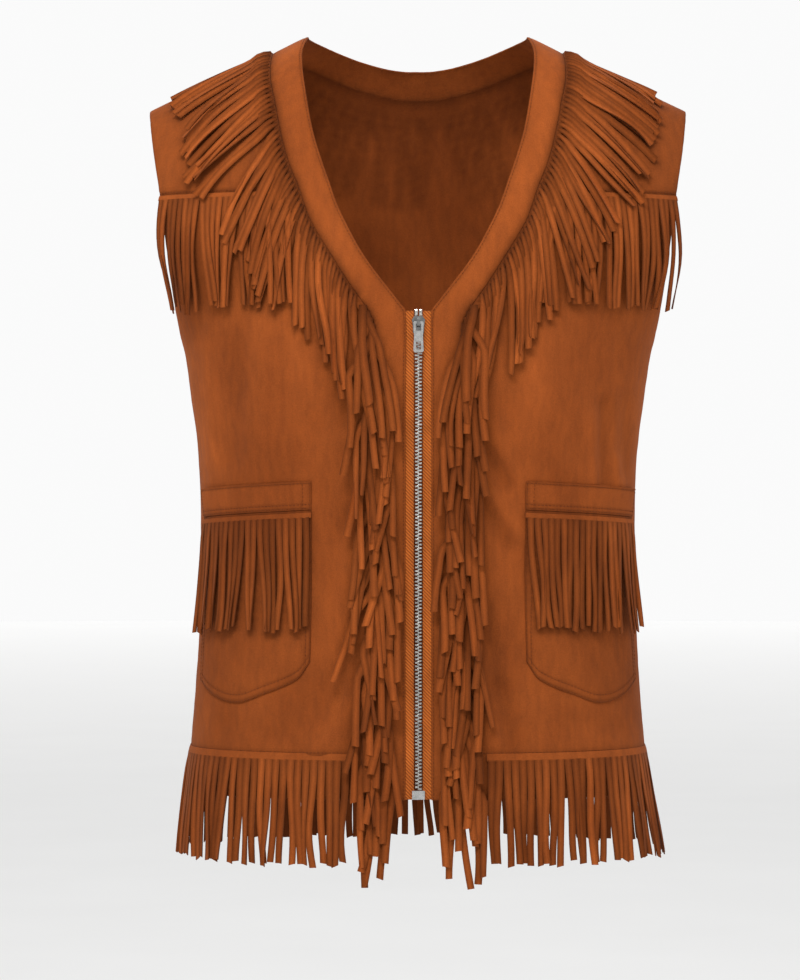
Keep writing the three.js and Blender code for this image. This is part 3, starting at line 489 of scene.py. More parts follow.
class Cloth:
    """A panel of cloth on the form: a thin closed shell whose edges are rolled. sewn lists
    its seams, each by the edge that it runs along and how far inside that edge. tone is how
    light the cloth is."""

    def __init__(
        self, grid, top, thick=CLOTH, *, dip=0.5, seed, creased=1.0, extra=0.0, sewn=(), tone=1.0
    ):
        self.grid = grid
        self.normals = outward(grid)
        edges = [*distance_along(grid, 0), *distance_along(grid, 1)]
        self.edge = np.minimum.reduce(edges)
        soft = 0.7 * ripple(grid, 34, seed) + 0.28 * ripple(grid, 11, seed + 5)
        finer = fold_sum(grid, CREASES)
        creases = creased * (finer + soft * smooth(self.edge, 0, 14))
        pucker = 0.3 * ripple(grid, 4.2, 9) * np.exp(-self.edge / 5)
        groove = sum(np.exp(-(((edges[side] - inset) / GROOVE_WIDTH) ** 2)) for side, inset in sewn)
        self.middle = fold_sum(grid, FOLDS) + creases + pucker - dip * np.exp(-self.edge / 2.2)
        self.middle = self.middle - GROOVE_DEPTH * groove + extra
        # Painted highlight on crease ridges and painted shade in crease troughs
        self.tone_and_painted_shade = 1 + CREASE_PAINTED_LIGHT * np.clip(creased * finer, -4, 2)
        # Painted shade along the seam grooves
        self.tone_and_painted_shade = self.tone_and_painted_shade * (1 - GROOVE_PAINTED_SHADE * np.clip(groove, 0, 1))
        # Painted shade low down, where less light falls
        low = smooth(-grid[..., 2], LOW_FROM, LOW_TO)
        self.tone_and_painted_shade = self.tone_and_painted_shade * tone * (1 - LOW_PAINTED_SHADE * creased * low)
        roll = thick * 0.46
        left = np.clip(1 - self.edge / roll, 0, 1)
        round_off = roll - np.sqrt(roll**2 - (roll * left) ** 2)
        self.outer = self.raised(top - round_off)
        self.inner = self.raised(top - thick + round_off)

    def raised(self, height):
        return self.grid + self.normals * (self.middle + height)[..., None]

    def piece(self, name, surface, slot, *nodes):
        columns, rows = self.grid.shape[:2]
        points = np.concatenate([self.outer.reshape(-1, 3), self.inner.reshape(-1, 3)])
        outer = grid_faces(columns, rows)
        inner = grid_faces(columns, rows, columns * rows)[:, ::-1]
        faces = np.concatenate([outer, inner, rim_faces(columns, rows)[:, ::-1]])
        middle = self.outer[columns // 2, rows // 2]
        ahead = self.outer[columns // 2 + 1, rows // 2] - middle
        upwards = self.outer[columns // 2, rows // 2 + 1] - middle
        if np.dot(np.cross(ahead, upwards), self.normals[columns // 2, rows // 2]) < 0:
            faces = faces[:, ::-1]
        # Painted shade of the creases, seam grooves and low parts, times the darker worn edges
        wear_and_painted_shade = self.tone_and_painted_shade * (1 - EDGE_DARK * np.exp(-self.edge / EDGE_DARK_REACH))
        shade = np.concatenate([wear_and_painted_shade.ravel(), 0.92 * wear_and_painted_shade.ravel()])
        made = new_piece(name, points, faces.tolist(), shade, surface)
        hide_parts(*nodes)
        return made

    def line_along_edge(self, side, inset):
        """Points a distance inside one edge of the panel."""
        axis = 0 if side in (FIRST_COLUMN, LAST_COLUMN) else 1
        forth, back = distance_along(self.outer, axis)
        run = forth if side in (FIRST_COLUMN, FIRST_ROW) else back
        run = run if axis == 0 else run.T
        outer = self.outer if axis == 0 else np.swapaxes(self.outer, 0, 1)
        normals = self.normals if axis == 0 else np.swapaxes(self.normals, 0, 1)
        picked = np.argmin(np.abs(run - inset), axis=0)
        lines = np.arange(run.shape[1])
        offset = inset - run[picked, lines]
        step = 1 if side in (FIRST_COLUMN, FIRST_ROW) else -1
        beside = np.clip(picked + step * np.sign(offset).astype(int), 0, run.shape[0] - 1)
        gap = np.abs(run[beside, lines] - run[picked, lines])
        share = np.where(gap > 1e-6, np.abs(offset) / np.maximum(gap, 1e-6), 0)
        share = np.clip(share, 0, 1)[:, None]
        points = lerp(outer[picked, lines], outer[beside, lines], share)
        return points, unit(lerp(normals[picked, lines], normals[beside, lines], share))


STITCH_RING = np.array([(math.cos(a), math.sin(a)) for a in np.arange(6) * math.tau / 6])
# share of the stitch's length, share of its thickness, how far it sinks at the ends
STITCH_SHAPE = table(
    "along thick sink", (0, 0.35, 1), (0.12, 0.85, 0.4), (0.5, 1, 0), (0.88, 0.85, 0.4), (1, 0.35, 1)
)
STITCH_PITCH, STITCH_LENGTH, STITCH_THICK = 3.1, 2.5, 0.27


def stitch_row(points, normals):
    """Corner points and faces of a row of stitches along a line on the cloth."""
    run = run_along(points)
    count = int((run[-1] - STITCH_LENGTH) / STITCH_PITCH)
    starts = 1 + STITCH_PITCH * np.arange(count)
    at = starts[:, None] + STITCH_LENGTH * STITCH_SHAPE["along"][None, :]
    place = read_along(at, run, points)
    out = unit(read_along(at, run, normals))
    way = unit(place[:, -1:] - place[:, :1])
    aside = unit(np.cross(way, out))
    thick = STITCH_THICK * STITCH_SHAPE["thick"][None, :, None, None]
    centre = place + out * (0.1 - 0.35 * STITCH_SHAPE["sink"])[None, :, None]
    turn = STITCH_RING[None, None, :, :]
    ring = aside[:, :, None, :] * turn[..., :1] + out[:, :, None, :] * turn[..., 1:]
    corners = centre[:, :, None, :] + thick * ring
    return corners.reshape(-1, 3), tube_faces(count, len(STITCH_SHAPE["along"]), 6)


def tube_faces(count, stations, sides):
    """Faces of many closed tubes, stored one after another, ring by ring."""
    faces = []
    for k in range(count):
        first = k * stations * sides
        for s in range(stations - 1):
            ring = first + s * sides
            for side in range(sides):
                other = (side + 1) % sides
                faces.append((ring + side, ring + other, ring + sides + other, ring + sides + side))
        faces.append(tuple(range(first + sides - 1, first - 1, -1)))
        last = first + (stations - 1) * sides
        faces.append(tuple(range(last, last + sides)))
    return faces


def joined(parts):
    """Corner points and faces of several parts as one."""
    points = []
    faces = []
    first = 0
    for part_points, part_faces in parts:
        points.append(part_points)
        faces.extend(tuple(corner + first for corner in face) for face in part_faces)
        first += len(part_points)
    return np.concatenate(points), faces


def stitches(name, lines, surface):
    points, faces = joined([stitch_row(*line) for line in lines])
    return new_piece(name, points, faces, np.ones(len(points)), surface, sharp=80)


# Fringe: each strand is a flat ribbon that follows a path over the form

STRAND_SECTION = ((-1, 1), (0, 1), (1, 1), (1, -1), (0, -1), (-1, -1))
STRAND_STATIONS = 14


def resample(points, pitch, margin):
    """Points spaced evenly along a line, and the ways the line runs at them."""
    run = run_along(points)
    count = int((run[-1] - 2 * margin) / pitch) + 1
    at = (run[-1] - (count - 1) * pitch) / 2 + pitch * np.arange(count)
    ahead = read_along(at + 0.5, run, points)
    behind = read_along(at - 0.5, run, points)
    return settle(read_along(at, run, points)), unit(ahead - behind)


def walk(starts, heading, lengths, shares):
    """Paths over the form: points, ways and outward ways at each share of the lengths."""
    points = settle(starts)
    distance = np.zeros(len(points))
    path, ways, outs = [], [], []
    for share in shares:
        target = share * lengths
        for part in (0.5, 1):
            step = (target - distance) * part
            way = lying(heading(distance), outward(points))
            points = settle(points + way * step[:, None])
            distance = distance + step
        out = outward(points)
        path.append(points)
        ways.append(lying(heading(distance), out))
        outs.append(out)
    return np.stack(path, 1), np.stack(ways, 1), np.stack(outs, 1)


def clumps(random, count, smallest, largest):
    """Clumps that neighbouring strands fall into: the clump that each strand is in, and how
    many strands it lies from the clump's middle."""
    sizes = random.integers(smallest, largest + 1, count)
    own = np.repeat(np.arange(count), sizes)[:count]
    order = np.arange(count)
    middle = np.array([order[own == clump].mean() for clump in own])
    return own, order - middle


def clumped(random, own, shared, alone):
    """Random numbers that the strands of a clump share in part."""
    return shared * random.normal(size=len(own))[own] + alone * random.normal(size=len(own))


# Painted shade of a strand by the corners of its section: a painted highlight along the middle of its
# top, and painted shade at its edges and underneath
STRAND_SHADE = np.array([0.6, 1.05, 0.6, 0.44, 0.48, 0.44])
# Middles of all the strands, kept for the shade under them
strand_middles = []


def strands(path, ways, outs, random, clump, *, width, lift, layer, lean, twist, curl,
            gather=0.0, root_turn=0.0, root_reach=6.0, root_painted_shade=0.55, tone=1.0):
    """Corner points, faces and shades of ribbons along their paths. lean, twist and curl grow
    towards the tips, and gather closes the tips of a clump up. root_turn is a turn at the
    root that fades. root_painted_shade is how much painted shade darkens the root, and root_reach how
    far that reaches."""
    count, stations = path.shape[:2]
    own, place = clump
    steps = np.linalg.norm(np.diff(path, axis=1), axis=-1)
    distance = np.concatenate([np.zeros((count, 1)), np.cumsum(steps, axis=1)], axis=1)
    share = distance / distance[:, -1:]
    across0 = unit(np.cross(ways, outs))
    pitch = np.sum(np.gradient(path[:, 0], axis=0) * across0[:, 0], axis=1)
    closing = -gather * place * pitch
    bunch = clumped(random, own, 0.9 * lean, 0.5 * lean)
    wave = random.normal(size=(count, 1)) * np.sin(5 * share + random.uniform(0, 6, (count, 1)))
    aside = bunch[:, None] * share**1.7 + closing[:, None] * smooth(share, 0.1, 1)
    aside = aside + 0.75 * lean * wave * share
    turn = root_turn * np.exp(-distance / 13)
    turn = turn + twist * random.normal(size=(count, 1)) * smooth(share, 0.05, 0.9)
    turn = turn + 0.5 * twist * np.sin(6 * share + random.uniform(0, 6, (count, 1))) * share
    bend = curl * random.normal(0.25, 0.8, (count, 1)) * smooth(distance, 2, 30)
    across = across0 * np.cos(turn)[..., None] + outs * np.sin(turn)[..., None]
    up = outs * np.cos(turn)[..., None] - across0 * np.sin(turn)[..., None]
    cut = random.normal(size=count) * 0.6
    height = lift(distance, share) + layer[:, None] * smooth(distance, 0, 14)
    centre = path + outs * height[..., None] + across0 * aside[..., None]
    strand_middles.append(centre.reshape(-1, 3))
    wide = width(distance, share) / 2
    rings = []
    for side, face in STRAND_SECTION:
        corner = centre + across * (side * wide)[..., None]
        corner = corner + up * (face * FRINGE_CLOTH / 2 * 0.92 + bend * side * side)[..., None]
        corner[:, -1] += ways[:, -1] * (cut * side)[:, None]
        rings.append(corner)
    corners = np.stack(rings, axis=2)
    # Tone differs at random from strand to strand; strands in lower layers get painted shade, and so do
    # the roots, where they lie in shadow
    own_tone_and_shade = tone * (1 + 0.13 * random.normal(size=count)) * (0.78 + 0.22 * layer / layer.max())
    root = 1 - root_painted_shade * np.exp(-distance / root_reach)
    shade = own_tone_and_shade[:, None, None] * root[..., None] * STRAND_SHADE
    faces = tube_faces(count, stations, len(STRAND_SECTION))
    return corners.reshape(-1, 3), faces, np.clip(shade, 0.18, 1.25).ravel()


# The strip's upper edge is sunk into the seam, then it comes out to lie on the cloth
STRIP_SINK = np.array([1.0, 0.3, 0])


def strip_part(upper, lower, base):
    """The uncut strip that the strands hang from, between two lines on the form."""
    grid = np.stack([lerp(upper, lower, share) for share in (0, 0.5, 1)], axis=1)
    outs = outward(grid)
    height = (fold_sum(grid, FOLDS) + base - STRIP_SINK)[..., None]
    top = grid + outs * (height + FRINGE_CLOTH)
    bottom = grid + outs * height
    columns = len(grid)
    faces = [grid_faces(columns, 3), grid_faces(columns, 3, 3 * columns)[:, ::-1]]
    faces.append(rim_faces(columns, 3)[:, ::-1])
    points = np.concatenate([top.reshape(-1, 3), bottom.reshape(-1, 3)])
    return points, [tuple(face) for face in np.concatenate(faces).tolist()]


def fringe_piece(name, node, strip, strip_shade, part):
    corners, sides, shades = part
    points, faces = joined([strip, (corners, sides)])
    # strip_shade paints the strip darker: painted shade in the gaps between the strands' roots
    shade = np.concatenate([np.full(len(strip[0]), strip_shade), shades])
    made = new_piece(name, points, faces, shade, FRINGE_SUEDE, sharp=50)
    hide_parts(node)
    return made


STATION_SHARES = np.linspace(0, 1, STRAND_STATIONS) ** 1.15
DOWN = np.array([0.0, 0.0, -1.0])


def straight_down(points):
    return lying(np.broadcast_to(DOWN, points.shape), outward(points))


# Materials

class Nodes:
    """A material's node tree, with short calls to add and link nodes."""

    def __init__(self, name):
        self.material = bpy.data.materials.new(name)
        self.material.use_nodes = True
        self.tree = self.material.node_tree
        self.shader = self.tree.nodes["Principled BSDF"]
        self.place = self.add("ShaderNodeTexCoord").outputs["Object"]

    def add(self, kind, **settings):
        node = self.tree.nodes.new(kind)
        for name, value in settings.items():
            setattr(node, name, value)
        return node

    def link(self, source, target):
        self.tree.links.new(source, target)

    def stretched(self, scale):
        node = self.add("ShaderNodeMapping")
        self.link(self.place, node.inputs["Vector"])
        node.inputs["Scale"].default_value = scale
        return node.outputs["Vector"]

    def noise(self, scale, detail=2.0, stretch=(1, 1, 1), roughness=0.5):
        node = self.add("ShaderNodeTexNoise")
        self.link(self.stretched(stretch), node.inputs["Vector"])
        node.inputs["Scale"].default_value = scale
        node.inputs["Detail"].default_value = detail
        node.inputs["Roughness"].default_value = roughness
        return node.outputs["Fac"]

    def ranged(self, value, low, high, to_low, to_high):
        node = self.add("ShaderNodeMapRange")
        self.link(value, node.inputs["Value"])
        names = ("From Min", "From Max", "To Min", "To Max")
        for name, number in zip(names, (low, high, to_low, to_high)):
            node.inputs[name].default_value = number
        return node.outputs["Result"]

    def math(self, operation, first, second):
        node = self.add("ShaderNodeMath", operation=operation)
        for socket, value in zip(node.inputs, (first, second)):
            if isinstance(value, (int, float)):
                socket.default_value = value
            else:
                self.link(value, socket)
        return node.outputs["Value"]

    def mixed(self, share, first, second):
        node = self.add("ShaderNodeMix", data_type="RGBA")
        self.link(share, node.inputs["Factor"])
        node.inputs["A"].default_value = (*first, 1)
        node.inputs["B"].default_value = (*second, 1)
        return node.outputs["Result"]

    def scaled_colour(self, colour, factor):
        node = self.add("ShaderNodeVectorMath", operation="SCALE")
        self.link(colour, node.inputs[0])
        self.link(factor, node.inputs["Scale"])
        return node.outputs["Vector"]

    def bump(self, height, distance, strength, below=None):
        node = self.add("ShaderNodeBump")
        self.link(height, node.inputs["Height"])
        node.inputs["Distance"].default_value = distance
        node.inputs["Strength"].default_value = strength
        if below is not None:
            self.link(below, node.inputs["Normal"])
        return node.outputs["Normal"]

    def set(self, **values):
        for name, value in values.items():
            self.shader.inputs[name.replace("_", " ")].default_value = value

    def feed(self, **sources):
        for name, output in sources.items():
            self.link(output, self.shader.inputs[name.replace("_", " ")])

    def shaded(self, colour, factor):
        """A colour by a factor and by the mesh's shade attribute: painted shade and highlight, with tone
        and wear.
        """
        shade = self.add("ShaderNodeAttribute", attribute_name="shade").outputs["Fac"]
        return self.scaled_colour(colour, self.math("MULTIPLY", factor, shade))


def suede_material(name, dark, light):
    """Brushed suede: patches where the nap lies either way, fine speckle and a soft sheen."""
    nodes = Nodes(name)
    patches = nodes.noise(17, 3, (1, 1, 0.6))
    brushed = nodes.noise(190, 2, (1, 1, 0.28))
    speckle = nodes.noise(1300, 2)
    colour = nodes.mixed(nodes.ranged(patches, 0.34, 0.66, 0, 1), dark, light)
    streaks = nodes.ranged(brushed, 0.3, 0.7, 0.9, 1.09)
    grain = nodes.ranged(speckle, 0.3, 0.7, 0.86, 1.13)
    nap = nodes.bump(nodes.noise(1500, 2), 0.0004, 0.4)
    nodes.feed(
        Base_Color=nodes.shaded(colour, nodes.math("MULTIPLY", streaks, grain)),
        Normal=nodes.bump(nodes.noise(240, 3), 0.0006, 0.35, nap),
        Roughness=nodes.ranged(brushed, 0.3, 0.7, 0.82, 0.97),
    )
    nodes.set(Sheen_Weight=0.04, Sheen_Roughness=0.5, Specular_IOR_Level=0.08)
    nodes.shader.inputs["Sheen Tint"].default_value = (1.0, 0.62, 0.38, 1)
    return nodes.material


def tape_material():
    """Woven tape: fine diagonal twill ribs."""
    nodes = Nodes("woven_tape")
    twill = nodes.add("ShaderNodeTexWave", wave_type="BANDS", bands_direction="DIAGONAL")
    nodes.link(nodes.stretched((1, 0, 1)), twill.inputs["Vector"])
    twill.inputs["Scale"].default_value = 230
    twill.inputs["Distortion"].default_value = 0.6
    ribs = twill.outputs["Fac"]
    colour = nodes.mixed(nodes.ranged(ribs, 0.1, 0.9, 0, 1), (0.32, 0.068, 0.0095), (0.62, 0.16, 0.024))
    wear_and_painted_shade = nodes.ranged(nodes.noise(60, 3), 0.3, 0.7, 0.86, 1.12)
    nodes.feed(Base_Color=nodes.shaded(colour, wear_and_painted_shade), Normal=nodes.bump(ribs, 0.0003, 0.7))
    nodes.set(Roughness=0.8, Sheen_Weight=0.05, Specular_IOR_Level=0.15)
    return nodes.material


def thread_material():
    nodes = Nodes("thread")
    plies = nodes.noise(1800, 2)
    colour = nodes.mixed(nodes.ranged(plies, 0.3, 0.7, 0, 1), (0.1, 0.022, 0.005), (0.19, 0.045, 0.01))
    nodes.feed(Base_Color=colour, Normal=nodes.bump(plies, 0.0001, 0.5))
    nodes.set(Roughness=0.7, Specular_IOR_Level=0.1)
    return nodes.material


def metal_material(name, dark, light, rough):
    """Plated metal with a little handling wear."""
    nodes = Nodes(name)
    wear = nodes.noise(300, 3)
    colour = nodes.mixed(nodes.ranged(wear, 0.35, 0.65, 0, 1), dark, light)
    scratches = nodes.noise(900, 2, (1, 1, 0.12))
    nodes.feed(
        Base_Color=colour,
        Roughness=nodes.ranged(wear, 0.3, 0.7, rough, rough + 0.1),
        Normal=nodes.bump(scratches, 0.0001, 0.25),
    )
    nodes.set(Metallic=1.0)
    return nodes.material


def floor_material():
    """Pale paint with a painted glow that grows with distance, so that the floor fades towards the white
    of the room.
    """
    nodes = Nodes("floor_paint_and_glow")
    tone = nodes.mixed(nodes.noise(3, 2), (0.72, 0.72, 0.715), (0.76, 0.76, 0.755))
    nodes.set(Roughness=0.9, Emission_Color=(1, 1, 1, 1))
    reach = nodes.add("ShaderNodeVectorMath", operation="LENGTH")
    nodes.link(nodes.place, reach.inputs[0])
    glow = nodes.ranged(reach.outputs["Value"], 2, 13.5, 0.13, 0.4)
    nodes.feed(Base_Color=tone, Emission_Strength=glow)
    return nodes.material


SUEDE = suede_material("suede", (0.25, 0.0565, 0.011), (0.33, 0.077, 0.0152))
BAND_SUEDE = suede_material("suede_band", (0.285, 0.065, 0.0125), (0.37, 0.087, 0.0172))
FRINGE_SUEDE = suede_material("suede_fringe", (0.27, 0.061, 0.0118), (0.38, 0.09, 0.0178))
TAPE = tape_material()
THREAD = thread_material()
SLIDER_METAL = metal_material("nickel_slider", (0.24, 0.24, 0.235), (0.32, 0.32, 0.31), 0.24)
PULL_METAL = metal_material("nickel_pull", (0.62, 0.62, 0.6), (0.74, 0.73, 0.71), 0.2)
TOOTH_METAL = metal_material("nickel_teeth", (0.5, 0.48, 0.45), (0.8, 0.77, 0.72), 0.2)


# Panels

FINE = 0.8


def front_panel(side):
    z = steps_between(HEM_Z, YOKE_SEAM_Z + SEAM_LAP, 130, FINE)
    share = steps_between(0, 1, 58, FINE / 150)
    inner = angle_of(seam_x(z) - SEAM_LAP, z)
    side_seam = seam_angle(front_depth(z))
    outer = np.where(z > UNDERARM_Z, angle_of(armhole_x(z), z), side_seam)
    angle = lerp(inner[None, :], np.minimum(outer, side_seam)[None, :], share[:, None])
    return level_point(side * angle, np.broadcast_to(z, angle.shape), FRONT)


def yoke_panel(side):
    share = steps_between(0, 1, 34, FINE / 100)[:, None]
    up = steps_between(0, 1, 34, FINE / 150)[None, :]
    share, up = np.broadcast_arrays(share, up)
    lower_z = YOKE_SEAM_Z - SEAM_LAP
    x, angle = between_edges(lambda z: seam_x(z) - SEAM_LAP, armhole_x, lower_z, share, up)
    return shoulder_point(side * x, angle, FRONT)


def front_band(side):
    share = steps_between(0, 1, 8, FINE / 25)[:, None]
    z = np.concatenate([HEM_Z + EDGE_STEPS * FINE, np.linspace(HEM_Z + 4, YOKE_SEAM_Z, 150)])[None, :]
    free_z = edge_z_level_with(z)
    x = lerp(edge_x(free_z), seam_x(z) + SEAM_LAP, share)
    height = lerp(free_z, z, share)
    lower = level_point(side * angle_of(x, height), height, FRONT)
    near_top = 1 - EDGE_STEPS[::-1] / 170
    up = np.concatenate([np.linspace(0, 1, 44)[1:-1] * 0.985, near_top])[None, :]

    def seam_at(at):
        return seam_x(at) + SEAM_LAP

    seam = between_edges(seam_at, seam_at, YOKE_SEAM_Z, 0, up)
    edge = between_edges(edge_x, edge_x, edge_z_level_with(YOKE_SEAM_Z), 0, up)
    upper_x = lerp(edge[0], seam[0], share)
    upper = shoulder_point(side * upper_x, lerp(edge[1], seam[1], share), FRONT)
    return np.concatenate([lower, upper], axis=1)


def back_panel():
    share = steps_between(-1, 1, 118, FINE / 180)
    neck_share = 10 / 18
    turn = np.clip(share / neck_share, -1, 1) * math.pi / 2
    neck_x = (NECK_SEAM_X - SEAM_LAP) * np.sin(turn)
    neck = top_point(neck_x, (NECK_SEAM_Y - SEAM_LAP) * np.cos(turn), BACK)
    out = np.clip((np.abs(share) - neck_share) / (1 - neck_share), 0, 1)
    tip_x = np.sign(share) * lerp(NECK_SEAM_X - SEAM_LAP, SHOULDER_TIP_X, out)
    on_neck = np.abs(share) < neck_share
    end_x = np.where(on_neck, neck_x, tip_x)
    end_angle = np.where(on_neck, shoulder_angle_of(neck_x, neck[:, 2]), SHOULDER_SEAM_ANGLE)
    z = steps_between(HEM_Z, UNDERARM_Z, 74, FINE)
    z = z[z < UNDERARM_Z - 3]
    angle = share[:, None] * seam_angle(back_depth(z))[None, :]
    lower = level_point(angle, np.broadcast_to(z, angle.shape), BACK)
    near_top = 1 - EDGE_STEPS[::-1] / 240
    up = np.concatenate([np.linspace(0, 0.985, 52) ** 1.25, near_top])
    at_underarm = level_point(share * seam_angle(back_depth(UNDERARM_Z)), UNDERARM_Z, BACK)[:, 0]
    at_underarm = (at_underarm / armhole_x(UNDERARM_Z))[:, None]
    at_top = (end_x / armhole_x(height_at(end_x, end_angle)))[:, None]
    angle = up[None, :] * end_angle[:, None]
    height = lerp(UNDERARM_Z, 0, np.broadcast_to(up, angle.shape))
    for _ in range(14):
        x = lerp(at_underarm, at_top, up[None, :]) * armhole_x(height)
        height = height_at(x, angle)
    return np.concatenate([lower, shoulder_point(x, angle, BACK)], axis=1)


def back_band():
    share = steps_between(0, 1, 8, FINE / 25)[:, None]
    turn = steps_between(math.pi / 2, -math.pi / 2, 70, -FINE / 100)[None, :]
    x = lerp(NECK_EDGE_X, NECK_SEAM_X + 2 * SEAM_LAP, share) * np.sin(turn)
    y = lerp(NECK_EDGE_Y, NECK_SEAM_Y + 2 * SEAM_LAP, share) * np.cos(turn)
    return top_point(x, y, BACK)


def pocket_point(side, share, z):
    inner = angle_of(POCKET_INNER_X, POCKET_TOP_Z)
    outer = angle_of(POCKET_OUTER_X, POCKET_TOP_Z)
    angle = side * lerp(inner, outer, share)
    return level_point(np.broadcast_to(angle, np.broadcast(angle, z).shape), z, FRONT)


def pocket_drop(share):
    return share * (POCKET_OUTER_X - POCKET_INNER_X) * POCKET_DROP


def pocket_bag(side):
    share = steps_between(0, 1, 70, FINE / 110)[:, None]
    up = steps_between(0, 1, 96, FINE / 140)[None, :]
    top = POCKET_WELT_Z - pocket_drop(share)
    return pocket_point(side, share, lerp(pocket_bottom(share), top, up))


def pocket_band(side):
    share = steps_between(0, 1, 70, FINE / 110)[:, None]
    up = steps_between(0, 1, 16, FINE / 23)[None, :]
    return pocket_point(side, share, lerp(POCKET_WELT_Z, POCKET_TOP_Z, up) - pocket_drop(share))


def puffed(grid, height):
    """A soft swell that is zero along the edges of a grid."""
    columns, rows = grid.shape[:2]
    across = np.sin(np.linspace(0, math.pi, columns))[:, None]
    up = np.sin(np.linspace(0, math.pi, rows))[None, :]
    return height * np.sqrt(np.abs(across * up))


def gaping(grid, height):
    """The pocket band's top edge stands off the front towards its outer end."""
    columns, rows = grid.shape[:2]
    across = smooth(np.linspace(0, 1, columns), 0.35, 0.95)[:, None]
    return height * across * np.linspace(0, 1, rows)[None, :] ** 1.5


# Seams that show, by the edge that they run along and how far inside it
BAG_SEWN = [
    (side, inset) for side in (FIRST_COLUMN, LAST_COLUMN, FIRST_ROW) for inset in (1.6, 7.2)
]
WELT_SEWN = [
    (FIRST_ROW, 2.0), (FIRST_ROW, 5.0), (LAST_ROW, 2.0),
    (FIRST_COLUMN, 1.6), (FIRST_COLUMN, 7.2), (LAST_COLUMN, 1.6),
]
YOKE_SEWN = [(FIRST_ROW, 1.8)]
BAND_SEWN = [(FIRST_COLUMN, 2.2)]
HEM_SEWN = [(FIRST_ROW, 37.5)]

sheets = {}
threads = {}


def sew(name, cloth, sewn):
    lines = [cloth.line_along_edge(side, inset) for side, inset in sewn]
    threads[name] = stitches(f"thread_{name}", lines, THREAD)


def dress(name, grid, surface, sewn, top=0, thick=CLOTH, **shape):
    """A panel of cloth in place of the solid of that name, with its seams."""
    cloth = Cloth(grid, top, thick, sewn=sewn, **shape)
    sheets[name] = cloth.piece(f"cloth_{name}", surface, "suede", name)
    if sewn:
        sew(name, cloth, sewn)


for word, side in SIDES:
    bag = pocket_bag(side)
    welt = pocket_band(side)
    dress(f"front_{word}", front_panel(side), SUEDE, HEM_SEWN, seed=3 + side)
    dress(f"yoke_{word}", yoke_panel(side), SUEDE, YOKE_SEWN, seed=13 + side, tone=0.9)
    dress(
        f"band_{word}", front_band(side), BAND_SUEDE, BAND_SEWN,
        dip=0.35, seed=23 + side, creased=0.35,
    )
    dress(
        f"pocket_{word}", bag, SUEDE, BAG_SEWN, 1.5, 1.2,
        seed=33 + side, creased=0.8, extra=puffed(bag, 0.9), tone=0.9,
    )
    dress(
        f"pocket_band_{word}", welt, SUEDE, WELT_SEWN, 2.1, 1.5,
        dip=0.4, seed=43 + side, creased=0.4, extra=gaping(welt, 3.0),
    )

dress("back", back_panel(), SUEDE, HEM_SEWN, seed=53)
dress("band_back", back_band(), BAND_SUEDE, (), dip=0.35, seed=63, creased=0.35)


# Fringes

def neck_fringe(word, side):
    """Strands from the neck band's seam: out over the shoulder, and down beside the V."""
    random = np.random.default_rng(100 + side)
    shoulder_angle = shoulder_angle_of(seam_x(YOKE_SEAM_Z), YOKE_SEAM_Z)
    angle = np.linspace(SHOULDER_SEAM_ANGLE, shoulder_angle, 60)
    up = (angle - shoulder_angle) / (SHOULDER_SEAM_ANGLE - shoulder_angle)
    x, _ = between_edges(seam_x, seam_x, YOKE_SEAM_Z, 0, up)
    upper = shoulder_point(side * x, angle, FRONT)
    z = np.linspace(YOKE_SEAM_Z, NECK_FRINGE_END_Z, 50)[1:]
    lower = level_point(side * angle_of(seam_x(z), z), z, FRONT)
    roots, along = resample(np.concatenate([upper, lower]), NECK_PITCH, 2)
    across = np.cross(along, outward(roots))
    across = unit(across * np.sign(across[:, :1] * side))
    strip = strip_part(roots, settle(roots + across * NECK_STRIP), OVERLAY_GAP)
    count = len(roots)
    clump = clumps(random, count, 2, 5)
    cling = smooth(roots[:, 2], -100, -60) if side > 0 else np.zeros(count)
    steer = clumped(random, clump[0], 7, 3.5) * (1 - 0.6 * cling)
    base = strand_slope(roots[:, 2])

    def heading(distance):
        level = 13 * np.exp(-distance / 12) * base / 90
        slope = np.radians(base - level + distance * 0.09 + steer * (1 - base / 135))
        return np.stack([side * np.cos(slope), np.full(count, -0.2), -np.sin(slope)], axis=-1)

    lengths = NECK_LENGTH + 5 + 3 * random.normal(size=count)
    starts = roots + across * 0.8
    path, ways, outs = walk(starts, heading, lengths, STATION_SHARES)
    layer = 0.9 * (np.arange(count) % 2) + 0.7 * random.uniform(size=count)
    folds = fold_sum(path, FOLDS)

    def lift(distance, share):
        bulge = 2.6 * np.exp(-(((distance - 7) / 7) ** 2))
        return 0.3 + folds + bulge + (0.04 - 0.02 * cling)[:, None] * distance

    def width(distance, share):
        return 3.0 + 2.3 * smooth(distance, 1, 17) + (0.6 * cling)[:, None]

    part = strands(
        path, ways, outs, random, clump, width=width, lift=lift, layer=layer, lean=2.4,
        twist=0.42, curl=0.6, gather=0.3, root_turn=-side * 0.8, root_reach=9.0,
    )
    return fringe_piece(f"strands_neck_{word}", f"fringe_neck_{word}", strip, 0.4, part)


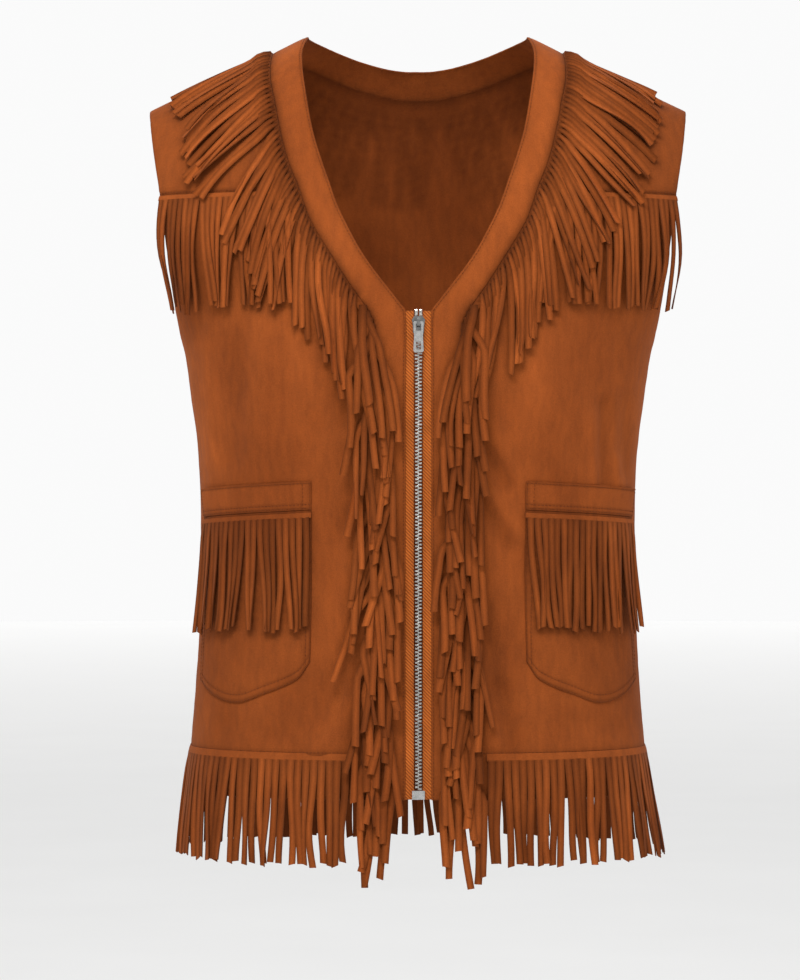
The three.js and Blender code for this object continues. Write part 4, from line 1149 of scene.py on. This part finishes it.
def back_neck_fringe():
    """Strands round the back neck, fanned out towards the shoulders."""
    random = np.random.default_rng(210)
    turn = np.linspace(1.5, -1.5, 160)
    line = top_point((NECK_SEAM_X + 1) * np.sin(turn), (NECK_SEAM_Y + 1) * np.cos(turn), BACK)
    roots, _ = resample(line, NECK_PITCH + 0.4, 2)
    angle = np.arctan2(roots[:, 0] / NECK_SEAM_X, roots[:, 1] / NECK_SEAM_Y)
    count = len(roots)
    clump = clumps(random, count, 2, 5)
    steer = clumped(random, clump[0], 0.11, 0.05)

    def heading(distance):
        fan = angle * (1 - 0.002 * distance) + steer
        fall = -np.cos(fan) - 0.45 * np.abs(np.sin(fan))
        return np.stack([np.sin(fan), np.zeros(count), fall], axis=-1)

    out = outward(roots)
    way = lying(heading(np.zeros(count)), out)
    strip = strip_part(roots, settle(roots + way * NECK_STRIP), OVERLAY_GAP)
    lengths = NECK_LENGTH + 4 + 3 * random.normal(size=count)
    path, ways, outs = walk(roots + way * 0.8, heading, lengths, STATION_SHARES)
    layer = 0.9 * (np.arange(count) % 2) + 0.7 * random.uniform(size=count)
    folds = fold_sum(path, FOLDS)

    def lift(distance, share):
        bulge = 2.0 * np.exp(-(((distance - 7) / 7) ** 2))
        return 0.3 + folds + bulge + 0.02 * distance

    def width(distance, share):
        return 3.1 + 1.9 * smooth(distance, 1, 17)

    part = strands(
        path, ways, outs, random, clump, width=width, lift=lift, layer=layer, lean=2.2,
        twist=0.36, curl=0.5, gather=0.26, root_reach=9.0,
    )
    return fringe_piece("strands_neck_back", "fringe_neck_back", strip, 0.45, part)


def cut_fringe(
    name, node, line, *, pitch, strip, length, ragged, base, seed, lean, gather, loft, flare, tone,
    tuck=0.0,
):
    """A fringe cut from a strip that is sewn along a line and hangs straight down. ragged is
    how uneven its end is, loft how far the strands stand off at random, and flare how far by
    their share along the line. tuck is how far they bend in at the wearer's right side."""
    # tone darkens the whole fringe and its strip: painted shade, standing for strands that lie deep in
    # their layers
    random = np.random.default_rng(seed)
    roots, _ = resample(line, pitch, pitch / 2)
    edge = settle(line + straight_down(line) * strip)
    strip_body = strip_part(settle(line), edge, base)
    count = len(roots)
    clump = clumps(random, count, 2, 4)
    starts = settle(roots + straight_down(roots) * (strip - 0.6))
    sway = clumped(random, clump[0], 0.03, 0.012)

    def heading(distance):
        return np.stack([sway, np.zeros(count), -np.ones(count)], axis=-1)

    lengths = length + 0.6 + clumped(random, clump[0], 0.6 * ragged, ragged)
    path, ways, outs = walk(starts, heading, lengths, STATION_SHARES)
    folds = fold_sum(path, FOLDS)
    layer = 0.35 * (np.arange(count) % 2) + 0.5 * random.uniform(size=count)
    off = flare(np.arange(count) / (count - 1)) + loft * np.abs(clumped(random, clump[0], 0.8, 0.5))

    drawn_in = tuck * smooth(-roots[:, 0], 120, 195)

    def lift(distance, share):
        return base + FRINGE_CLOTH / 2 + folds + (off[:, None] - drawn_in[:, None] * share) * distance

    def width(distance, share):
        return (pitch - 0.1) * (1 - 0.07 * smooth(distance, 1, 26) - 0.05 * share)

    part = strands(
        path, ways, outs, random, clump, width=width, lift=lift, layer=layer, lean=lean,
        twist=0.3, curl=0.6, gather=gather, root_painted_shade=0.15, tone=tone,
    )
    return fringe_piece(name, node, strip_body, 0.95 * tone, part)


def level_line(from_angle, to_angle, z, face):
    angle = np.linspace(from_angle, to_angle, 180)
    return level_point(angle, np.full(180, float(z)), face)


def yoke_fringe(word, side):
    z = YOKE_SEAM_Z - 1
    inner, outer = angle_of(YOKE_FRINGE_INNER_X, z), angle_of(armhole_x(z) - 0.5, z)
    line = level_line(side * inner, side * outer, z, FRONT)
    return cut_fringe(
        f"strands_yoke_{word}", f"fringe_yoke_{word}", line, pitch=YOKE_PITCH, strip=YOKE_STRIP,
        length=YOKE_LENGTH, ragged=1.6, base=OVERLAY_GAP, seed=300 + side, lean=2.2,
        gather=0.22, loft=0.02, tone=0.94, flare=lambda place: 0.012 + 0.1 * place**4,
    )


def pocket_fringe(word, side):
    share = np.linspace(0, 1, 120)
    line = pocket_point(side, share, POCKET_WELT_Z - 2 - pocket_drop(share))
    return cut_fringe(
        f"strands_pocket_{word}", f"fringe_pocket_{word}", line, pitch=POCKET_PITCH,
        strip=POCKET_STRIP, length=POCKET_LENGTH, base=POCKET_TOP_HEIGHT + OVERLAY_GAP,
        ragged=1.3, seed=400 + side, lean=1.9, gather=0.2, loft=0.014, tone=0.82,
        flare=lambda place: 0.02 + 0.055 * place**3,
    )


def hem_fringe(name, node, face, from_angle, to_angle, seed):
    line = level_line(from_angle, to_angle, HEM_SEAM_Z, face)
    return cut_fringe(
        name, node, line, pitch=HEM_PITCH, strip=HEM_STRIP, length=HEM_LENGTH, ragged=0.9,
        base=OVERLAY_GAP, seed=seed, lean=1.9, gather=0.17, loft=0.014, tone=0.88,
        flare=lambda place: np.full(len(place), 0.01), tuck=0.07,
    )


# Lanes that the strands along the zip fall into, by distance from the centre
CASCADE_LANES = (34, 23, 45, 29, 39, 19.5, 49, 32, 26, 42)
CASCADE_TOP_Z, CASCADE_BOTTOM_Z = -226, -618
# How near the centre the strands come, at the top of the zip and lower down
CASCADE_NEAREST_TOP, CASCADE_NEAREST = 31, 14.5


def cascade_fringe(word, side):
    """Strands from the band's seam down the front, each shingled over the ones below it."""
    random = np.random.default_rng(500 + side)
    count = int((CASCADE_TOP_Z - CASCADE_BOTTOM_Z) / FRONT_PITCH)
    root_z = CASCADE_TOP_Z - FRONT_PITCH * (np.arange(count) + 0.5)
    root_x = seam_x(root_z) + 1
    clump = clumps(random, count, 1, 3)
    lanes = np.array(CASCADE_LANES)[np.arange(count) % len(CASCADE_LANES)]
    lanes = lanes + 2.2 * random.normal(size=count)
    lengths = FRONT_LENGTH + 1 + 4.0 * random.normal(size=count)
    lean = np.clip(0.085 * random.standard_t(4, size=count), -0.28, 0.28)
    distance = STATION_SHARES[None, :] * lengths[:, None]
    moved = smooth(distance, 0, 30)
    x = lerp(root_x[:, None], lanes[:, None], moved) + lean[:, None] * np.maximum(distance - 18, 0)
    z = root_z[:, None] - distance * np.sqrt(1 - lean[:, None] ** 2)
    nearest = lerp(CASCADE_NEAREST_TOP, CASCADE_NEAREST, smooth(-z, 240, 330))
    x = np.maximum(x + 0.5 * (nearest - CASCADE_NEAREST) * moved, lerp(root_x[:, None], nearest, moved))
    path = level_point(side * angle_of(x, z), z, FRONT)
    outs = outward(path)
    ways = lying(np.gradient(path, axis=1), outs)
    folds = fold_sum(path, FOLDS)
    layer = 0.9 * random.uniform(size=count)
    wide = 5.5 + 0.45 * random.normal(size=(count, 1))

    def lift(at, share):
        return 0.9 + folds + 0.1 * at + 0.5 * np.exp(-(((at - 6) / 6) ** 2))

    def width(at, share):
        return wide + 0.2 * share

    part = strands(
        path, ways, outs, random, clump, width=width, lift=lift, layer=layer, lean=1.1,
        twist=0.36, curl=0.55, root_reach=20.0,
    )
    z_line = np.linspace(CASCADE_TOP_Z, CASCADE_BOTTOM_Z, 120)
    near = level_point(side * angle_of(seam_x(z_line) + 0.4, z_line), z_line, FRONT)
    far = level_point(side * angle_of(seam_x(z_line) + 0.4 + FRONT_STRIP, z_line), z_line, FRONT)
    strip = strip_part(near, far, OVERLAY_GAP)
    return fringe_piece(f"strands_front_{word}", f"fringe_front_{word}", strip, 0.6, part)


fringes = {}
for word, side in SIDES:
    fringes[f"neck_{word}"] = neck_fringe(word, side)
    fringes[f"front_{word}"] = cascade_fringe(word, side)
    fringes[f"yoke_{word}"] = yoke_fringe(word, side)
    fringes[f"pocket_{word}"] = pocket_fringe(word, side)
    hem_inner = side * angle_of(HEM_FRINGE_INNER_X, HEM_SEAM_Z)
    hem_outer = side * seam_angle(front_depth(HEM_SEAM_Z))
    fringes[f"hem_{word}"] = hem_fringe(
        f"strands_hem_{word}", f"fringe_hem_{word}", FRONT, hem_inner, hem_outer, 600 + side
    )
hem_side = seam_angle(back_depth(HEM_SEAM_Z))
fringes["hem_back"] = hem_fringe("strands_hem_back", "fringe_hem_back", BACK, -hem_side, hem_side, 650)
fringes["neck_back"] = back_neck_fringe()


def shade_under_strands(pieces):
    """Darkens the cloth close under the strands, where less light comes in."""
    middles = np.concatenate(strand_middles)
    tree = kdtree.KDTree(len(middles))
    for i, point in enumerate(middles.tolist()):
        tree.insert(point, i)
    tree.balance()
    for piece in pieces:
        values = piece.data.attributes["shade"].data
        shade = np.empty(len(values), np.float32)
        values.foreach_get("value", shade)
        near = np.array([tree.find(vertex.co / MM)[2] for vertex in piece.data.vertices])
        values.foreach_set("value", shade * (1 - 0.5 * np.exp(-((near / 5.5) ** 2))))


shade_under_strands(sheets.values())


# Zip

def zip_tape(word, side):
    x = steps_between(ZIP_TAPE_IN, ZIP_TAPE_OUT, 8, 0.4)[:, None]
    z = steps_between(HEM_Z + 0.5, ZIP_TOP_Z, 130, 0.4)[None, :]
    x, z = np.broadcast_arrays(x, z)
    cord = 0.45 * np.exp(-(((x - ZIP_TAPE_IN - 0.9) / 0.8) ** 2))
    tape = Cloth(
        level_point(side * angle_of(x, z), z, FRONT), TAPE_TOP, TAPE_THICK, dip=0.0,
        seed=73 + side, creased=0.0, extra=cord,
    )
    return tape.piece(f"tape_{word}", TAPE, "zip_tape", f"zip_tape_{word}")


def small_block(side, z, outline, layers, middle):
    """A block of the chain, from its outline in x and up, drawn in towards its middle in x by
    each layer's share at the layer's height."""
    centre = level_point(0.0, z, FRONT)
    out = outward(centre)
    way_up = np.cross((1.0, 0.0, 0.0), -out)
    corners = []
    for height, share in layers:
        for x, up in outline:
            aside = np.array([side * (middle + (x - middle) * share), 0, 0])
            corners.append(centre + out * height + way_up * up * share + aside)
    return np.array(corners), tube_faces(1, len(layers), len(outline))


def zip_teeth():
    """Two rows of teeth that mesh, with bevelled corners, and the stop above each row."""
    reach_in, reach_out = -0.75, 2.9
    outline = ((reach_in, -0.45), (reach_in + 0.4, -0.7), (1.2, -0.7), (1.6, -0.82), (reach_out, -0.82),
               (reach_out, 0.82), (1.6, 0.82), (1.2, 0.7), (reach_in + 0.4, 0.7), (reach_in, 0.45))
    layers = ((-3.15, 0.8), (-2.85, 1.0), (-1.35, 1.0), (-1.0, 0.74))
    stop = ((0.5, -2.2), (0.9, -2.5), (2.7, -2.5), (3.1, -2.2),
            (3.1, 2.2), (2.7, 2.5), (0.9, 2.5), (0.5, 2.2))
    parts = []
    for side, shift in ((1, 0.0), (-1, 0.5)):
        steps = np.arange(int((CHAIN_TOP_Z - ZIP_BOTTOM_Z) / TOOTH_PITCH))
        for z in ZIP_BOTTOM_Z + 1.2 + TOOTH_PITCH * (steps + shift):
            parts.append(small_block(side, z, outline, layers, 1.1))
        parts.append(small_block(side, ZIP_STOP_Z, stop, layers, 1.8))
    points, faces = joined(parts)
    piece = new_piece("zip_teeth", points, faces, np.ones(len(points)), TOOTH_METAL, 30)
    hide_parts("zip_chain")
    return piece


tapes = {word: zip_tape(word, side) for word, side in SIDES}
zip_teeth()

for node, surface in (("zip_slider", SLIDER_METAL), ("zip_pull", PULL_METAL), ("zip_box", PULL_METAL)):
    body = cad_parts[node]
    body.data.materials.clear()
    body.data.materials.append(surface)
    bevel = body.modifiers.new("rounded edges", "BEVEL")
    bevel.width = 0.00025
    bevel.segments = 2
    bevel.limit_method = "ANGLE"
    bevel.angle_limit = math.radians(30)


# Cut of the cloth that shows, flat: width, length and area in metres

# part: width, length, area, and the fringes that are sewn to it
CUT = {
    "front": (0.215, 0.50, 0.0946, ["hem"]),
    "yoke": (0.132, 0.15, 0.0158, ["yoke"]),
    "band": (0.030, 0.66, 0.0177, ["neck", "front"]),
    "pocket": (0.115, 0.16, 0.0167, []),
    "pocket_band": (0.118, 0.0245, 0.0028, ["pocket"]),
}

for word, side in SIDES:
    for part, (width, length, area, sewn) in CUT.items():
        pieces = [fringes[f"{name}_{word}"] for name in sewn]
        if f"{part}_{word}" in threads:
            pieces.append(threads[f"{part}_{word}"])


# Studio

FLOOR_Z = -1.02


def studio_floor():
    bpy.ops.mesh.primitive_circle_add(vertices=96, radius=14, fill_type="NGON", location=(0, 0, FLOOR_Z))
    floor = bpy.context.object
    floor.name = "floor"
    floor.data.materials.append(floor_material())


def soft_light(name, place, size, power):
    lamp = bpy.data.lights.new(name, "AREA")
    lamp.shape = "RECTANGLE"
    lamp.size, lamp.size_y = size
    lamp.energy = power
    light = bpy.data.objects.new(name, lamp)
    light.location = place
    aim = -light.location
    aim.z -= 0.35
    light.rotation_euler = aim.to_track_quat("-Z", "Y").to_euler()
    bpy.context.scene.collection.objects.link(light)


def pale_world():
    """A room that is bright behind the vest and softer in front of it."""
    world = bpy.data.worlds.new("studio")
    world.use_nodes = True
    tree = world.node_tree
    way = tree.nodes.new("ShaderNodeTexCoord")
    parts = tree.nodes.new("ShaderNodeSeparateXYZ")
    strength = tree.nodes.new("ShaderNodeMapRange")
    tree.links.new(way.outputs["Generated"], parts.inputs["Vector"])
    tree.links.new(parts.outputs["Y"], strength.inputs["Value"])
    for name, number in (("From Min", -0.7), ("From Max", 0.6), ("To Min", 0.5), ("To Max", 0.96)):
        strength.inputs[name].default_value = number
    background = tree.nodes["Background"]
    background.inputs["Color"].default_value = (1, 1, 1, 1)
    tree.links.new(strength.outputs["Result"], background.inputs["Strength"])
    bpy.context.scene.world = world


studio_floor()
pale_world()
soft_light("key", (-0.4, -1.45, 1.35), (1.0, 0.6), 31)
soft_light("fill", (1.4, -2.2, 0.8), (1.2, 1.2), 6)
soft_light("rim", (0.3, 2.4, 1.6), (1.6, 1.2), 8)

CAMERA_PLACE = (-0.0146, -2.8, -0.3748)
FOCAL_PIXELS, FRAME_PIXELS = 3392, 980

camera_data = bpy.data.cameras.new("camera")
camera_data.sensor_width = 36
camera_data.lens = camera_data.sensor_width * FOCAL_PIXELS / FRAME_PIXELS
camera = bpy.data.objects.new("camera", camera_data)
camera.location = CAMERA_PLACE
camera.rotation_euler = (math.radians(90), 0, 0)
bpy.context.scene.collection.objects.link(camera)
bpy.context.scene.camera = camera
bpy.context.scene.view_settings.view_transform = "Standard"
